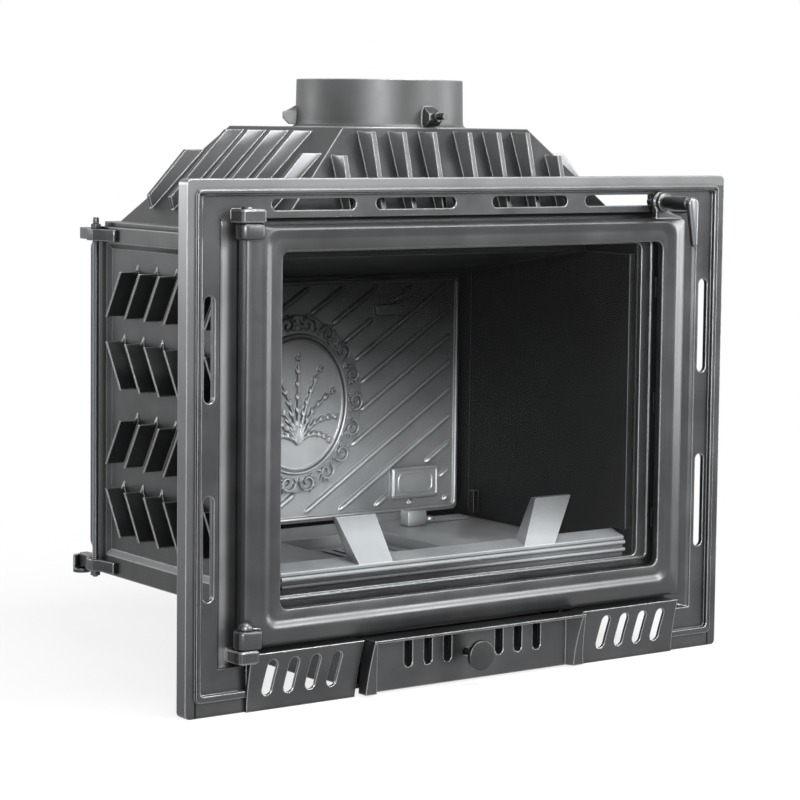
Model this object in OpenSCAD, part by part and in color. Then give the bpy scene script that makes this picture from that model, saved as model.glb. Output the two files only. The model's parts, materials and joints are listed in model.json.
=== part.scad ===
// Cast iron fireplace insert: a finned firebox with a smoke hood and flue collar,
// a front frame with a glazed door, and an ash drawer with an air register.
// X runs across the front, Y towards the back, Z up. The front frame's outer band
// lies in the plane Y = 0 before the whole object is centred over its origin.

/* [Front frame] */
// Width of the front frame
frame_w = 770; // [720:1:860]
// Height of the front frame
frame_h = 585; // [560:1:640]
// Depth of the rim around the front frame
frame_depth = 18; // [17:0.5:26]
// Thickness of the rim wall and of the frame's plate
frame_wall = 6; // [5:0.5:7]
// Width of the flat outer band at the sides and top
band_w = 12; // [9:0.5:13]
// Width of the flat outer band along the bottom
band_bottom = 17; // [14:0.5:18]
// Width of the raised bead inside the band
bead_w = 5.3; // [4:0.1:6]
// Height of the raised bead
bead_h = 3.7; // [2:0.1:5]
// How far the panel inside the bead is sunk
field_drop = 2; // [1:0.1:3]
// Width of the whole panel at the sides, out to the fold
fold_side = 42; // [40:0.5:44]
// Width of the whole panel at the top, out to the fold
fold_top = 43; // [42:0.5:44]
// Height of the fold above the bottom edge
fold_bottom = 51; // [50:0.5:56]
// Length of a ventilation slot in the frame's top
top_slot_l = 112; // [90:1:118]
// Height of a ventilation slot in the frame's top
top_slot_h = 13; // [10:0.5:14]
// Length of a ventilation slot in the frame's side
side_slot_l = 116; // [90:1:130]
// Width of a ventilation slot in the frame's side
side_slot_w = 14; // [9:0.5:14]

/* [Door] */
// Gap between the door's side edge and the frame's fold
door_side_gap = 28; // [27:0.5:36]
// Height of the door's bottom edge above the floor
door_z = 72; // [71:0.5:75]
// Gap between the door's top edge and the frame's fold
door_top_gap = 7.5; // [7:0.5:12]
// Width of the slope from the door's side edge up to its ridge
door_slope_side = 19.5; // [15:0.5:22]
// Width of the slope from the door's bottom edge up to its ridge
door_slope_bottom = 17; // [12:0.5:18]
// Width of the slope from the door's top edge up to its ridge
door_slope_top = 4; // [3:0.5:6]
// Width of the bevel inside the ridge
door_bevel = 10; // [8:0.5:12]
// Width of the flat border round the glass
door_flat = 13.5; // [12:0.5:15]
// How far the glazed opening sits towards the latch
pane_shift = 4; // [0:0.5:4.5]
// How far the door's ridge stands in front of the frame
ridge_out = 15; // [13:0.5:17]
// How far the door's outer edge stands in front of the frame
edge_out = 9; // [8:0.5:10]
// How far the flat border stands in front of the frame
flat_out = 11; // [10:0.5:12]
// Thickness of the door's rim wall
door_wall = 6; // [5:0.5:7]
// Thickness of the glass
glass_t = 4; // [3:0.5:5]
// How far the glass reaches under the border
glass_lap = 8; // [7:0.5:8.5]
// Radius of the opening's corners
opening_r = 10; // [4:1:14]

/* [Hinges and latch] */
// Diameter of the hinge pins
pin_d = 10; // [8:0.5:12]
// Running clearance round a pin or spindle, on the radius
run_gap = 0.08; // [0.05:0.01:0.1]
// Gap between a moving piece and what carries it
seat_gap = 0.3; // [0.2:0.05:0.5]
// Radius of a hinge lug
lug_r = 13; // [11:0.5:14]
// Height of a hinge lug
lug_h = 14.5; // [12:0.5:15]
// Distance of the hinge axis from the frame's side
hinge_in = 69; // [67:0.5:70]
// Distance of the hinge axis in front of the frame
hinge_out = 12; // [11:0.5:13]
// Distance of the latch axis from the door's side edge
latch_in = 38.3; // [34:0.1:42]
// Radius of the ear that carries the latch
ear_r = 12.5; // [11:0.5:13]
// Length of the handle's sleeve
sleeve_l = 42; // [30:1:55]
// Diameter of the handle's sleeve
sleeve_d = 17; // [13:0.5:19]
// Length of the lever from the spindle to its tip's centre
lever_l = 47; // [35:1:60]
// Thickness of the lever
lever_t = 9; // [6:0.5:10]

/* [Firebox] */
// How far the firebox's side is set in from the frame's side
body_in = 113; // [107:1:116]
// Distance of the firebox's back face from the front frame
body_back = 395; // [392:1:420]
// Height of the firebox's bottom edge
body_z = 94; // [93:0.5:96]
// How far the firebox's top edge lies below the frame's top
body_drop = 68; // [65:0.5:70]
// Thickness of the walls of the firebox
wall_t = 8; // [7:0.5:9]
// How far the side panels are sunk behind their border
panel_drop = 4; // [2:0.5:5]
// Height of the side wall's flat border
border_h = 19; // [14:1:22]
// Width of the slope from the border down to the panel
border_slope = 7; // [3:0.5:9]
// Pitch of the fins on the side walls
fin_pitch = 45; // [40:1:50]
// Number of fins in a row on the side walls
fin_count = 7; // [4:1:7]
// Height of a fin on the side walls
fin_h = 55; // [45:1:60]
// How far a fin leans over its height
fin_lean = 34; // [20:1:36]
// How far a fin stands out from the side panel
fin_out = 25; // [15:1:30]
// Thickness of a fin
fin_t = 3; // [2.5:0.5:5]
// Number of upright fins on the back wall
rear_fins = 7; // [3:1:9]
// How far the upright fins stand out from the back wall
rear_fin_out = 43; // [25:1:50]

/* [Smoke hood and collar] */
// Height of the hood above the firebox
hood_h = 123; // [110:1:140]
// Width of the hood's top plate
hood_top_w = 268; // [240:2:290]
// Distance of the top plate's front edge from the frame
hood_top_front = 76; // [68:1:84]
// Distance of the top plate's back edge from the frame
hood_top_back = 319; // [312:1:330]
// Distance of the hood's front foot from the frame
hood_foot_front = 25; // [22:1:30]
// How far the hood's foot is set in from the firebox
hood_inset = 12; // [10:0.5:14]
// Thickness of the hood's wall
hood_wall = 6; // [5:0.5:8]
// How far the hood's fins stand out from its slope
hood_fin_out = 25; // [12:1:26]
// Outer diameter of the flue collar
collar_d = 200; // [180:1:208]
// Wall of the flue collar
collar_wall = 6; // [4:0.5:8]
// Height of the flue collar
collar_h = 57; // [40:1:90]
// Diameter of the collar's clamping bolts
collar_bolt_d = 8; // [6:0.5:10]

/* [Linings and hearth] */
// Thickness of the back lining plate
lining_t = 10; // [8:0.5:12]
// Thickness of the side lining plates
side_lining_t = 8; // [6:0.5:9]
// How far the ribs on the back lining stand out
rib_out = 4; // [2:0.5:5]
// Width of the ribs on the back lining
rib_w = 8; // [5:0.5:10]
// Distance between the ribs on the back lining
rib_pitch = 30; // [24:1:40]
// Slope of the ribs on the back lining, in degrees
rib_angle = 33; // [20:1:45]
// Thickness of the baffle plate
baffle_t = 8; // [6:0.5:10]
// Half width of the hearth's pit above the grate
pit_half_w = 78; // [60:1:100]
// Distance of the pit's front edge from the frame
pit_front = 130; // [110:1:140]
// Distance of the pit's back edge from the frame
pit_back = 295; // [285:1:310]
// Thickness of the grate
grate_t = 12; // [8:0.5:14]
// Number of bars in the grate
grate_bars = 8; // [5:1:10]
// Height of the guard's horns
horn_h = 56; // [40:1:70]

/* [Ash drawer and air register] */
// Half width of the ash drawer's front at its foot
drawer_half_w = 158.5; // [157:0.5:162]
// How far the drawer's ends lean in over their height
end_lean = 5.5; // [3:0.5:6]
// Half width of the ash chamber behind the frame
chamber_half_w = 153; // [148:1:156]
// Thickness of the ash chamber's walls
chamber_wall = 5; // [4:0.5:6]
// Height of the strip below the door
strip_h = 66; // [64:0.5:66]
// How far the strip stands out at its foot
flare_foot = 4; // [2:0.5:6]
// How far the strip stands out at its top
flare_top = 15; // [12:0.5:18]
// How far the drawer's front stands out from the strip
drawer_out = 13; // [8:0.5:16]
// How far the drawer's flat panel stands out from the frame
panel_out = 8; // [7:0.5:10]
// Half width of the drawer's flat panel
panel_half_w = 138; // [134:1:144]
// Thickness of the strip's castings
strip_wall = 4; // [3:0.5:5]
// Thickness of the drawer's flat panel
panel_t = 6; // [4:0.5:7]
// Length of the ash chamber behind the frame
chamber_l = 304; // [280:1:330]
// Length of the ash pan
pan_l = 240; // [180:1:270]
// Sheet thickness of the ash pan
pan_t = 2; // [1:0.5:3]
// Pitch of the air slots
air_pitch = 28; // [26:0.5:30]
// Width of an air slot
air_slot_w = 12; // [8:0.5:12]
// Width of a slot in the strip's wings
wing_slot_w = 13.5; // [10:0.5:15]
// Diameter of the register's knob
knob_d = 36; // [24:1:44]
// Length of the register's stem outside the panel
stem_l = 27; // [20:1:40]

/* [Tie rods] */
// Diameter of the tie rods
rod_d = 8; // [6:0.5:8]
// Thickness of the corner brackets
bracket_t = 14; // [10:0.5:14]

/* [Hidden] */
$fn = 48;

IRON = "#5a5c5e";
DARK_IRON = "#3c3e40";
STEEL = "#8d9093";
GLASS = "#9fb4bd";
ROPE = "#6d6a63";

// Front frame
reach = 60;
half_w = frame_w / 2;
body_w = frame_w - 2 * body_in;
body_top = frame_h - body_drop;
hood_top = body_top + hood_h;
corner_r = 6;
bead_in = band_w + bead_w;
bead_bottom = band_bottom + 7;
seat_y = 10;
seat_t = 6;
body_front = seat_y + seat_t;
fold_x = half_w - fold_side;
fold_z = frame_h - fold_top;
cove_side = 24;
cove_edge = 6;
cove_steps = 6;
liner_x = body_w / 2 - panel_drop - wall_t;
mouth_half_w = liner_x + 2;
base_t = 8;
base_top = body_z + base_t;
mouth_z0 = base_top + 20;
mouth_r = 8;
seat_bead_out = 17;
seat_bead_w = 2.6;
seat_bead_h = 1.6;
door_half = fold_x - door_side_gap;
door_top = fold_z - door_top_gap;
mouth_z1 = door_top - 30.5;

// Door
ridge_flat = 2;
ridge_x = door_half - door_slope_side - ridge_flat;
ridge_z0 = door_z + door_slope_bottom + ridge_flat;
ridge_z1 = door_top - door_slope_top - ridge_flat;
flat_x = ridge_x - door_bevel;
flat_z0 = ridge_z0 + door_bevel - 1;
flat_z1 = ridge_z1 - door_bevel + 1;
pane_x = flat_x - door_flat + pane_shift;
pane_z0 = flat_z0 + door_flat - 2.5;
pane_z1 = flat_z1 - door_flat + 0.5;
door_back = seat_y - 2;
glass_front = -2;
glass_x = pane_x + glass_lap;
glass_z0 = pane_z0 - glass_lap / 2;
glass_z1 = pane_z1 + glass_lap / 2;
rebate_w = 7;
rebate_end = 4;
rebate_gap = 1;
rope_in = 12.5;
rope_r = (seat_y - seat_gap - glass_front - 0.1) / 2;
rope_y = seat_y - seat_gap - rope_r;

// Hinges
hinge_x = -half_w + hinge_in;
pin_r = pin_d / 2;
upper_lug_z = door_top + 3.5;
lower_lug_top = door_z;
upper_door_lug_h = 18;
lower_door_lug_h = 22;
door_lug_round = 7;
door_lug_reach = 6;
pin_head_r = pin_r + 3;
ball_rise = 1;

// Latch
latch_x = door_half - latch_in;
ear_front = -16;
ear_back = -1;
ear_groove = 2;
spindle_r = 5;
tongue_w = 8;
tongue_h = 18;
tongue_t = 5;
key_w = 2 * spindle_r + 1.2;
key_h = tongue_h + 2;
fold_lip = 2;
latch_z = fold_z + fold_lip + tongue_h / 2 + 1;
tongue_y = field_drop + frame_wall + 1;
sleeve_front = ear_front - seat_gap - sleeve_l;
lever_front = sleeve_front - lever_t;
lever_top_r = 8;
lever_tip_r = 4.5;

// Firebox
side_x = body_w / 2;
panel_x = side_x - panel_drop;
back_inner = body_back - wall_t;
border_foot = border_h + 5;
fin_row_gap = 28;
fin_row_pitch = (body_top - body_z - border_h - border_foot - fin_row_gap) / 4 - 3;
fin_pair_pitch = 2 * fin_row_pitch + 7;
fin_mid_z = (body_top + body_z) / 2 + 2.5;
fin_back = body_back - 55;
rear_fin_z0 = body_z + 23;
rear_fin_z1 = body_top - 18;
rear_fin_t = 6;
rear_fin_r = 12;

// Hood
hood_foot = side_x - hood_inset;
hood_foot_back = body_back - 17;
flange_t = 6;
hood_fin_t = 6;
hood_fin_top = hood_top - 4;
hood_fin_foot = body_top + 28;
hood_side_shift = 7;
hood_end_front = 52;
hood_end_back = 45;
hood_pitch_side = 49;
hood_pitch_front = 43;
collar_y = 194;
collar_r = collar_d / 2;
collar_bore = collar_r - collar_wall;
pipe_stop = 4;
collar_lug_z = hood_top + 14;
collar_lug_w = 19;
collar_lug_h = 27;
collar_lug_out = 16;
collar_bolt_l = 40;
collar_screw_l = 22;

// Linings and hearth
side_lining_x = liner_x - side_lining_t;
lining_y = 372;
side_lining_back = 338;
lining_half_w = liner_x - 1;
baffle_back = [lining_y - 6, body_top - 68];
baffle_front = [110, body_top - 27];
hearth_front = 46;
hearth_rear = 358;
hearth_z = 128;
lining_foot = hearth_z + 5;
lining_leg_x = 150;
sill_top = 141;
guard_y = 20;
guard_depth = 22;
guard_front_z = 145;
guard_back_z = 152;
horn_in = 95;
horn_w = 46;
horn_shift = 22;
plaque_z = base_top + 185;
plaque_w = 200;
plaque_h = 228;
plate_x = lining_half_w - 73;
plate_z = base_top + 72;
tab_x = 144;
tab_z = base_top + 301;

// Ash drawer
drawer_z0 = 3;
grille_gap = 6.5;
grille_foot = drawer_half_w + grille_gap;
grille_in = grille_foot - end_lean;
grille_out = half_w - 76;
grille_slots = 4;
wing_slot_pitch = 28.6;
wing_slot_shift = 4.5;
ledge_t = 3;
chamber_front = 76;
chamber_flange = 14;
chamber_rise = 4;
chamber_floor = 8;
pan_side_gap = 5;
pan_half_w = chamber_half_w - chamber_wall - pan_side_gap;
pan_z0 = chamber_floor + seat_gap;
pan_top = 56;
panel_back = -panel_out + panel_t;
end_slant = 12;
air_slots = [for (side = [-1, 1], i = [0:2]) side * (37.5 + i * air_pitch)];
air_z0 = 27;
air_z1 = 61.5;
register_half_w = 112;
register_t = 3;
register_z0 = air_z0 - 5;
register_z1 = air_z1 + 1;
rail_t = 3;
register_rest = 5;
register_travel = air_pitch / 2 - register_rest;
knob_x = -11;
knob_z = 36;
stem_r = 4;
screw_x = pan_half_w - 10;
screw_zs = [14, 48];

// Tie rods
rod_x = side_x + 7;
rod_y = body_back - 5;
bracket_z1 = body_top - 3;
bracket_z0 = body_z + 3;
bracket_back = body_back + rear_fin_out + 3;
hook_back = bracket_back + 14;

// The object is centred over its origin, front to back
centre_y = -(lever_front + hook_back) / 2;

// Extrudes an outline drawn in X and Z from y0 back to y1
module slab(y0, y1) {
    translate([0, y1, 0]) rotate([90, 0, 0]) linear_extrude(y1 - y0) children();
}

// Extrudes an outline drawn in Y and Z from x0 to x1
module bar(x0, x1) {
    translate([x0, 0, 0]) rotate([90, 0, 90]) linear_extrude(x1 - x0) children();
}

// Extrudes an outline drawn in X and Y from z0 up to z1
module column(z0, z1) {
    translate([0, 0, z0]) linear_extrude(z1 - z0) children();
}

// Rectangle with round corners, between two opposite corners
module round_rect(x0, z0, x1, z1, r) {
    translate([x0 + r, z0]) square([x1 - x0 - 2 * r, z1 - z0]);
    translate([x0, z0 + r]) square([x1 - x0, z1 - z0 - 2 * r]);
    for (x = [x0 + r, x1 - r], z = [z0 + r, z1 - r]) translate([x, z]) circle(r);
}

// Slot with round ends, centred, w across and h up
module slot_shape(w, h) {
    r = min(w, h) / 2;
    if (w > h) round_rect(-w / 2, -r, w / 2, r, r - 0.01);
    else round_rect(-r, -h / 2, r, h / 2, r - 0.01);
}

module block(x0, x1, y0, y1, z0, z1) {
    translate([x0, y0, z0]) cube([x1 - x0, y1 - y0, z1 - z0]);
}

// Outline of the frame, set in from its edges
module frame_outline(inset, bottom, r) {
    round_rect(-half_w + inset, bottom, half_w - inset, frame_h - inset, r);
}

// Space in front of the cove that leads from the fold back to the door's seat
module cove_space() {
    steps = [for (i = [0:cove_steps]) 90 * i / cove_steps];
    depth = seat_y - field_drop;
    side = [for (t = steps) [fold_x - cove_side * (1 - cos(t)), field_drop + depth * sin(t)]];
    top = [for (t = steps) [field_drop + depth * sin(t), fold_z - cove_edge * (1 - cos(t))]];
    foot = [for (t = steps) [field_drop + depth * sin(t), fold_bottom + cove_edge * (1 - cos(t))]];
    mirrored = [for (i = [len(side) - 1:-1:0]) [-side[i][0], side[i][1]]];
    turned = [for (i = [len(foot) - 1:-1:0]) foot[i]];
    intersection() {
        column(0, frame_h)
            polygon(concat([[fold_x, -1]], side, mirrored, [[-fold_x, -1]]));
        bar(-half_w, half_w)
            polygon(concat([[-1, fold_z]], top, turned, [[-1, fold_bottom]]));
    }
}

// Lug with a chamfered front, round its own axis in X and Y, which reaches back to y1
module hinge_lug(z0, z1, x1, y1) {
    soft = 1.2;
    column(z0 + soft, z1 - soft) lug_outline(x1, y1, 0);
    column(z0, z1) lug_outline(x1, y1, soft);
}
module lug_outline(x1, y1, inset) {
    x0 = hinge_x - lug_r + inset;
    y0 = -hinge_out - lug_r + 3 + inset;
    polygon([[x0, y1], [x0, y0 + 6.5], [x0 + 1.2, y0 + 3.2], [x0 + 3.4, y0 + 1], [x0 + 6.5, y0],
        [x1 - inset - 3, y0], [x1 - inset - 1, y0 + 1], [x1 - inset, y0 + 3], [x1 - inset, y1]]);
}

module pin_hole(z0, z1, gap) {
    translate([hinge_x, -hinge_out, z0]) cylinder(h = z1 - z0, r = pin_r + gap);
}

module frame_slots() {
    slot_z = frame_h - 28.5;
    slot_x = half_w - 29.8;
    top_shares = [-0.574, -0.213, 0.213, 0.574];
    side_shares = [0.3145, 0.6855];
    for (t = top_shares) translate([t * half_w, 0, slot_z])
        slab(-reach, reach) slot_shape(top_slot_l, top_slot_h);
    for (x = [-slot_x, slot_x], t = side_shares) translate([x, 0, t * frame_h])
        slab(-reach, reach) slot_shape(side_slot_w, side_slot_l);
}

// Outline of the firebox's mouth, moved out at the sides and by less above and below
module mouth_outline(out) {
    rise = out * 0.3;
    round_rect(-mouth_half_w - out, mouth_z0 - rise, mouth_half_w + out, mouth_z1 + rise, mouth_r);
}

// Raised bead on the door's seat, round the mouth
module seat_bead() slab(seat_y - seat_bead_h, seat_y + 1) difference() {
    mouth_outline(seat_bead_out);
    offset(delta = -seat_bead_w) mouth_outline(seat_bead_out);
}

module front_frame() color(IRON) {
    fold_r = 5;
    difference() {
        union() {
            slab(0, frame_depth) difference() {
                frame_outline(0, 0, corner_r);
                frame_outline(frame_wall, frame_wall, corner_r / 2);
            }
            slab(0, frame_wall) difference() {
                frame_outline(0, 0, corner_r);
                frame_outline(bead_in, bead_bottom, fold_r);
            }
            slab(-bead_h, frame_wall) difference() {
                frame_outline(band_w, band_bottom, fold_r + 1);
                frame_outline(bead_in, bead_bottom, fold_r);
            }
            slab(field_drop, field_drop + frame_wall) difference() {
                frame_outline(band_w, band_bottom, fold_r + 1);
                translate([-fold_x, fold_bottom])
                    square([2 * fold_x, fold_z - fold_bottom]);
            }
            difference() {
                slab(field_drop, body_front) translate([-fold_x, fold_bottom] - fold_lip * [1, 1])
                    square([2 * fold_x, fold_z - fold_bottom] + 2 * fold_lip * [1, 1]);
                cove_space();
            }
            seat_bead();
            hinge_lug(upper_lug_z, upper_lug_z + lug_h, hinge_x + lug_r + 6, field_drop + 2);
            hinge_lug(lower_lug_top - seat_gap - lug_h, lower_lug_top - seat_gap,
                hinge_x + lug_r, seat_y + 2);
        }
        slab(-reach, reach) mouth_outline(0);
        difference() {
            block(-grille_out, grille_out, -reach, reach, -1, strip_h);
            hinge_lug(lower_lug_top - seat_gap - lug_h, lower_lug_top - seat_gap,
                hinge_x + lug_r, seat_y + 2);
        }
        frame_slots();
        pin_hole(upper_lug_z - 1, upper_lug_z + lug_h + 1, run_gap);
        pin_hole(lower_lug_top - lug_h - 2, lower_lug_top + 1, run_gap);
        translate([latch_x, 0, latch_z]) slab(-ear_r, reach)
            round_rect(-key_w / 2, -key_h / 2, key_w / 2, key_h / 2, 1.5);
    }
}

// How far the strip's flare stands out at height z
function flare(z) = flare_foot + (flare_top - flare_foot) * pow(max(z, 0) / strip_h, 1.6);

// Outline in Y and Z of a flared wall, moved out by extra, with a ledge back to y1
module flare_outline(extra, z0, y1) {
    levels = [for (i = [0:8]) z0 + (strip_h - z0) * i / 8];
    front = [for (z = levels) [-flare(z) - extra, z]];
    back = [for (i = [8:-1:0]) if (levels[i] < strip_h - strip_wall)
        [-flare(levels[i]) - extra + strip_wall, levels[i]]];
    polygon(concat(front, [[y1, strip_h], [y1, strip_h - strip_wall]],
        [[-flare(strip_h - strip_wall) - extra + strip_wall, strip_h - strip_wall]], back));
}

// One slotted wing of the strip below the door; its slots lean to the right
module grille(side) {
    slot_z = 37;
    slot_len = 41;
    slot_lean = 9;
    middle = (grille_in + grille_out) / 2 + wing_slot_shift;
    outer = grille_out - strip_wall;
    difference() {
        scale([side, 1, 1]) {
            intersection() {
                bar(grille_in, grille_out) flare_outline(0, 0, body_front);
                slab(-reach, reach) polygon([[grille_foot, 0], [grille_out, 0],
                    [grille_out, strip_h], [grille_in, strip_h]]);
            }
            slab(-flare_foot + 1, body_front) polygon([[grille_foot, 0],
                [grille_foot + strip_wall, 0], [grille_in + strip_wall, strip_h - 1],
                [grille_in + end_lean / strip_h, strip_h - 1]]);
            block(outer, grille_out, -flare_foot + 1, field_drop, 0, strip_h - 1);
        }
        for (i = [0:grille_slots - 1])
            translate([side * middle + (i - 1.5) * wing_slot_pitch, 0, slot_z])
                rotate([0, slot_lean, 0]) slab(-reach, field_drop) slot_shape(wing_slot_w, slot_len);
        if (side < 0)
            block(-grille_out - 1, hinge_x + lug_r + 1, -reach, body_front + 1,
                lower_lug_top - lug_h - 2, strip_h + 1);
    }
}

module lower_grille_left() color(IRON) grille(-1);
module lower_grille_right() color(IRON) grille(1);

// Leaning fin on a side wall: the outline in Y and Z, extruded outwards
module side_fin(lean) {
    half = fin_t / 2;
    polygon([[-lean * fin_lean / 2 - half, -fin_h / 2], [-lean * fin_lean / 2 + half, -fin_h / 2],
        [lean * fin_lean / 2 + half, fin_h / 2], [lean * fin_lean / 2 - half, fin_h / 2]]);
}

// Middle of a row of fins; the rows stand in two pairs, counted from the top
module side_fin_with_root(lean) {
    bar(panel_x - 1, panel_x + fin_out) side_fin(lean);
    top_y = lean * fin_lean / 2 * (1 - 4 / fin_h);
    slab(top_y - fin_t / 2 + 0.4, top_y + fin_t / 2 - 0.2) polygon([[panel_x - 1, fin_h / 2 - 3],
        [panel_x + 6.5, fin_h / 2 - 3], [panel_x + 2.5, fin_h / 2 + 2], [panel_x + 0.8, fin_h / 2 + 6.5],
        [panel_x - 1, fin_h / 2 + 8]]);
}
function fin_row_z(row) = fin_mid_z + (row < 2 ? 1 : -1) * fin_pair_pitch / 2
    + (row % 2 == 0 ? 1 : -1) * fin_row_pitch / 2;

// Side wall with its border and four rows of leaning fins, drawn for the right
module side_wall_shape() {
    difference() {
        block(liner_x, side_x, body_front, body_back, body_z, body_top);
        side_wall_recess();
    }
    for (row = [0:3], i = [0:fin_count - 1])
        translate([0, fin_back - fin_lean / 2 - i * fin_pitch, fin_row_z(row)])
            side_fin_with_root(row % 2 == 0 ? -1 : 1);
}

// Sunk panel of the side wall, with a slope down from its border all round
module side_wall_recess() {
    y0 = body_front + border_h;
    y1 = body_back - border_h;
    z0 = body_z + border_foot;
    z1 = body_top - border_h;
    intersection() {
        column(z0, z1) polygon([[side_x + 1, y0], [side_x, y0], [panel_x, y0 + border_slope],
            [panel_x, y1 - border_slope], [side_x, y1], [side_x + 1, y1]]);
        slab(y0, y1) polygon([[side_x + 1, z0], [side_x, z0], [panel_x, z0 + border_slope],
            [panel_x, z1 - border_slope], [side_x, z1], [side_x + 1, z1]]);
    }
}

module side_wall_right() color(IRON) side_wall_shape();
module side_wall_left() color(IRON) mirror([1, 0, 0]) side_wall_shape();

module back_wall() color(IRON) {
    spread = 2 * (side_x - 4 - rear_fin_t / 2) / (rear_fins - 1);
    block(-liner_x, liner_x, back_inner, body_back, body_z, body_top);
    for (i = [0:rear_fins - 1]) {
        outer = i == 0 || i == rear_fins - 1;
        x = (i - (rear_fins - 1) / 2) * (outer ? spread - 2.8 : spread);
        bar(x - rear_fin_t / 2, x + rear_fin_t / 2) intersection() {
            round_rect(body_back - 2 * rear_fin_r, rear_fin_z0, body_back + rear_fin_out, rear_fin_z1,
                rear_fin_r);
            translate([body_back - 1, body_z]) square([reach, body_top - body_z]);
        }
    }
}

module base_plate() color(DARK_IRON) difference() {
    block(-liner_x, liner_x, body_front, back_inner, body_z, base_top);
    block(-pit_half_w + 8, pit_half_w - 8, pit_front + 8, pit_back - 8, body_z - 1, base_top + 1);
}

module front_header() color(DARK_IRON) {
    block(-liner_x, liner_x, body_front, body_front + wall_t, mouth_z1 + 1, body_top);
    block(-liner_x, liner_x, body_front, hood_foot_front + 8, body_top - wall_t, body_top);
}

// Four-sided frustum between the hood's foot and its top, set in by w
module hood_body(w, z0) {
    foot = hood_foot - w;
    top = hood_top_w / 2 - w;
    y0 = hood_foot_front + w;
    y1 = hood_foot_back - w;
    t0 = hood_top_front + w;
    t1 = hood_top_back - w;
    z1 = hood_top - w;
    intersection() {
        slab(0, body_back) polygon([[-foot, z0], [foot, z0], [top, z1], [-top, z1]]);
        bar(-foot - 1, foot + 1) polygon([[y0, z0], [y1, z0], [t1, z1], [t0, z1]]);
    }
}

// Fin on the hood's slope: top_in and foot_in are the slope's distances from the outside
module hood_fin_outline(foot, top, z1) {
    rise = hood_top - body_top;
    at = function (z) foot + (top - foot) * (z - body_top) / rise;
    knee = body_top + 39;
    polygon([[at(z1) - 8, z1], [at(z1) + hood_fin_out, z1],
        [at(knee) + hood_fin_out - 5, knee], [at(knee) + hood_fin_out - 14, body_top + 7],
        [at(body_top + 7) - 8, body_top + 7]]);
}

module hood_fins() {
    middle = (hood_foot_front + hood_foot_back) / 2 + hood_side_shift;
    side_ys = [hood_foot_front + hood_end_front, for (t = [-1.5:1.5]) middle + t * hood_pitch_side,
        hood_foot_back - hood_end_back];
    half = hood_fin_t / 2;
    rise = hood_top - body_top;
    at = function (z) hood_foot_front + (hood_top_front - hood_foot_front) * (z - body_top) / rise;
    top_edge = at(hood_fin_top) - hood_fin_out - 3;
    foot_edge = frame_depth + 4.5;
    edge = function (z) foot_edge
        + (top_edge - foot_edge) * (z - hood_fin_foot) / (hood_fin_top - hood_fin_foot);
    for (i = [0:5]) {
        z1 = i == 0 || i == 5 ? hood_top - 29 : hood_fin_top;
        for (s = [-1, 1]) translate([0, side_ys[i] - half, 0]) slab(0, hood_fin_t)
            scale([s, 1]) hood_fin_outline(hood_foot, hood_top_w / 2, z1);
    }
    for (i = [0:3], s = [-1, 1]) {
        x = s * (i == 3 ? 155 : hood_pitch_front * i + 25.5);
        z1 = i == 3 ? hood_top - 31 : hood_fin_top;
        bar(x - half, x + half) polygon([[at(z1) + 8, z1], [edge(z1), z1],
            [foot_edge, hood_fin_foot], [at(hood_fin_foot) + 8, hood_fin_foot]]);
    }
}

module smoke_hood() color(IRON) difference() {
    union() {
        hood_body(0, body_top);
        column(body_top, body_top + flange_t)
            polygon([[-hood_foot - 6, body_front + 4], [hood_foot + 6, body_front + 4],
                [hood_foot + 6, back_inner + 4], [-hood_foot - 6, back_inner + 4]]);
        hood_fins();
    }
    hood_body(hood_wall, body_top - 1);
    block(-hood_foot + hood_wall, hood_foot - hood_wall, hood_foot_front + hood_wall,
        hood_foot_back - hood_wall, body_top - 1, body_top + 1);
    translate([0, collar_y, hood_top - 20])
        cylinder(h = 40, r = collar_bore - pipe_stop, $fn = 96);
}

module turned_to(a) translate([0, collar_y, 0]) rotate([0, 0, a]) children();

// Three lugs round the collar
module round_collar() {
    for (a = [30, 150, 270]) turned_to(a) children();
}

// Lug with an arched top, which slopes out from the collar to its bolt
module collar_lug() {
    out = collar_r + collar_lug_out;
    arch_r = collar_lug_w / 2;
    intersection() {
        slab(-collar_lug_w, collar_lug_w) polygon([
            [collar_r - 2, hood_top + 2], [out - 7, hood_top + 3], [out, collar_lug_z - 4],
            [out, collar_lug_z + 3], [collar_r - 2, hood_top + collar_lug_h]]);
        bar(collar_r - 2, out) {
            translate([-arch_r, hood_top]) square([collar_lug_w, collar_lug_h - arch_r]);
            translate([0, hood_top + collar_lug_h - arch_r]) circle(arch_r);
        }
    }
}

module flue_collar() color(IRON) difference() {
    union() {
        translate([0, collar_y, 0]) rotate_extrude($fn = 96) polygon([
            [collar_bore, hood_top], [collar_r + 6, hood_top], [collar_r + 3, hood_top + 1.5],
            [collar_r + 1.5, hood_top + 4], [collar_r + 1, hood_top + 8],
            [collar_r, hood_top + collar_h], [collar_bore, hood_top + collar_h]]);
        round_collar() collar_lug();
    }
    translate([0, collar_y, hood_top - 1])
        cylinder(h = collar_h + 2, r = collar_bore, $fn = 96);
    round_collar() translate([collar_bore - 4, 0, collar_lug_z]) rotate([0, 90, 0])
        cylinder(h = reach, r = collar_bolt_d / 2 + run_gap);
}

// The front lug has a long bolt with a nut, the other two have short set screws
module collar_bolts() color(STEEL) {
    for (a = [30, 150, 270]) turned_to(a) translate([collar_bore + 0.5, 0, collar_lug_z])
        rotate([0, 90, 0]) {
            long = a == 270;
            cylinder(h = long ? collar_bolt_l : collar_screw_l, r = collar_bolt_d / 2);
            if (long) translate([0, 0, collar_wall + collar_lug_out - 0.2])
                cylinder(h = 5, r = collar_bolt_d / 2 + 2.5, $fn = 6);
        }
}

module baffle_plate() color(DARK_IRON) bar(-liner_x + 2, liner_x - 2)
    polygon([baffle_back, baffle_front, baffle_front + [0, baffle_t],
        baffle_back + [0, baffle_t]]);

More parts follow.
